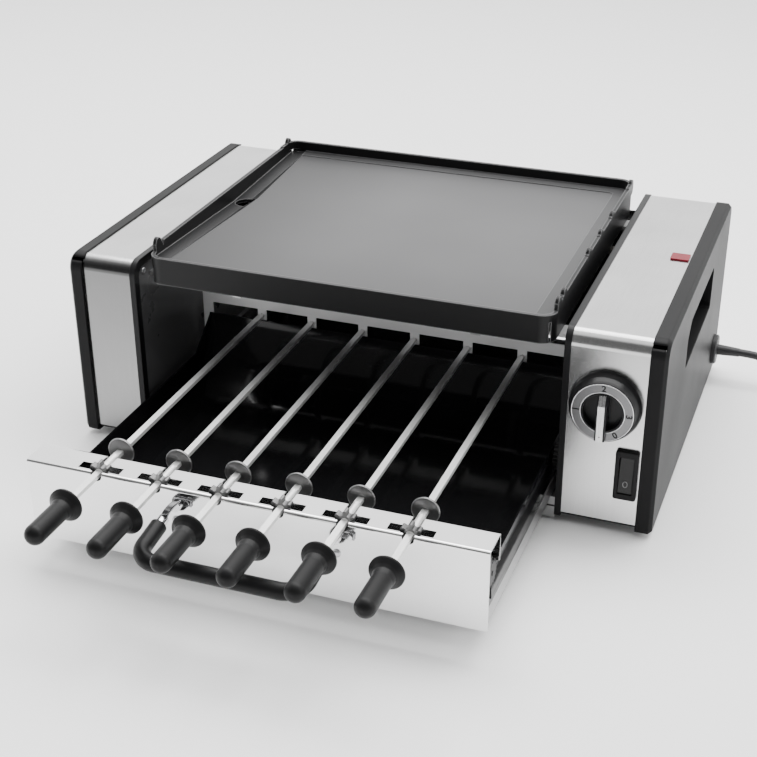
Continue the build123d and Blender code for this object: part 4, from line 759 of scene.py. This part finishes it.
turn, wire = np.meshgrid(np.linspace(0, 2 * np.pi, 48, endpoint=False),
                         np.linspace(0, 2 * np.pi, 10, endpoint=False))
ring_z = rocker_low[2] + off_ring_rise + (off_ring_radii[1] + off_ring_wire * np.cos(wire)) * np.sin(turn)
ring_x = rocker_x + (off_ring_radii[0] + off_ring_wire * np.cos(wire)) * np.cos(turn)
ring_y = rocker_low[1] - slope * (ring_z - rocker_low[2]) - 0.00012 * np.sin(wire) - 0.00002
surface("rocker_off_ring", np.stack([ring_x, ring_y, ring_z], -1), print_pale, "rocker",
        ring=True)

# ---- Floor and light -------------------------------------------------------
# A plain white sweep under a large overhead soft box, with soft boxes left and
# right. The surround is white, and dark behind the camera like a studio, which
# gives the steel bends and black plastics their dark reflections.
bpy.ops.mesh.primitive_plane_add(size=8, location=(0, 0, 0))
floor = bpy.context.object
floor.name = "floor"
floor_paper = bpy.data.materials.new("floor_paper")
floor_paper.use_nodes = True
floor_paper.node_tree.nodes["Principled BSDF"].inputs["Base Color"].default_value = (0.93, 0.93, 0.93, 1)
floor_paper.node_tree.nodes["Principled BSDF"].inputs["Roughness"].default_value = 0.95
floor.data.materials.append(floor_paper)


def soft_box(name, place, target, size, power):
    """A rectangular light at place that looks at target."""
    data = bpy.data.lights.new(name, "AREA")
    data.shape = "RECTANGLE"
    data.size, data.size_y = size
    data.energy = power
    lamp = bpy.data.objects.new(name, data)
    aim = (Vector(target) - Vector(place)).to_track_quat("-Z", "Y").to_matrix().to_4x4()
    lamp.matrix_world = Matrix.Translation(place) @ aim
    bpy.context.scene.collection.objects.link(lamp)
    return lamp


soft_box("top_box", (0.1, 0.65, 1.8), (0, -0.1, 0.0), (2.6, 1.1), 72)
soft_box("left_box", (-1.8, -0.5, 1.1), (0, -0.1, 0.1), (1.0, 1.6), 6)
soft_box("right_box", (2.0, -0.2, 1.0), (0.1, 0, 0.1), (0.9, 1.4), 6)
front_box = soft_box("front_box", (-0.3, -2.0, 0.5), (0, 0, 0.1), (1.8, 0.5), 16)
front_box.visible_glossy = False
world = bpy.data.worlds.new("surround")
bpy.context.scene.world = world
world.use_nodes = True
sky = world.node_tree
surround = sky.nodes["Background"]
surround.inputs["Color"].default_value = (1, 1, 1, 1)
where = sky.nodes.new("ShaderNodeTexCoord")
part = sky.nodes.new("ShaderNodeSeparateXYZ")
sky.links.new(where.outputs["Generated"], part.inputs["Vector"])
front = sky.nodes.new("ShaderNodeMapRange")
front.interpolation_type = "SMOOTHSTEP"
front.inputs["From Min"].default_value = -0.30
front.inputs["From Max"].default_value = 0.10
sky.links.new(part.outputs["Y"], front.inputs["Value"])
above = sky.nodes.new("ShaderNodeMapRange")
above.interpolation_type = "SMOOTHSTEP"
above.inputs["From Min"].default_value = 0.80
above.inputs["From Max"].default_value = 0.96
sky.links.new(part.outputs["Z"], above.inputs["Value"])
lit = sky.nodes.new("ShaderNodeMath")
lit.operation = "MAXIMUM"
sky.links.new(front.outputs["Result"], lit.inputs[0])
sky.links.new(above.outputs["Result"], lit.inputs[1])
glow = sky.nodes.new("ShaderNodeMapRange")
glow.inputs["To Min"].default_value = 0.22
glow.inputs["To Max"].default_value = 2.2
sky.links.new(lit.outputs[0], glow.inputs["Value"])
sky.links.new(glow.outputs["Result"], surround.inputs["Strength"])
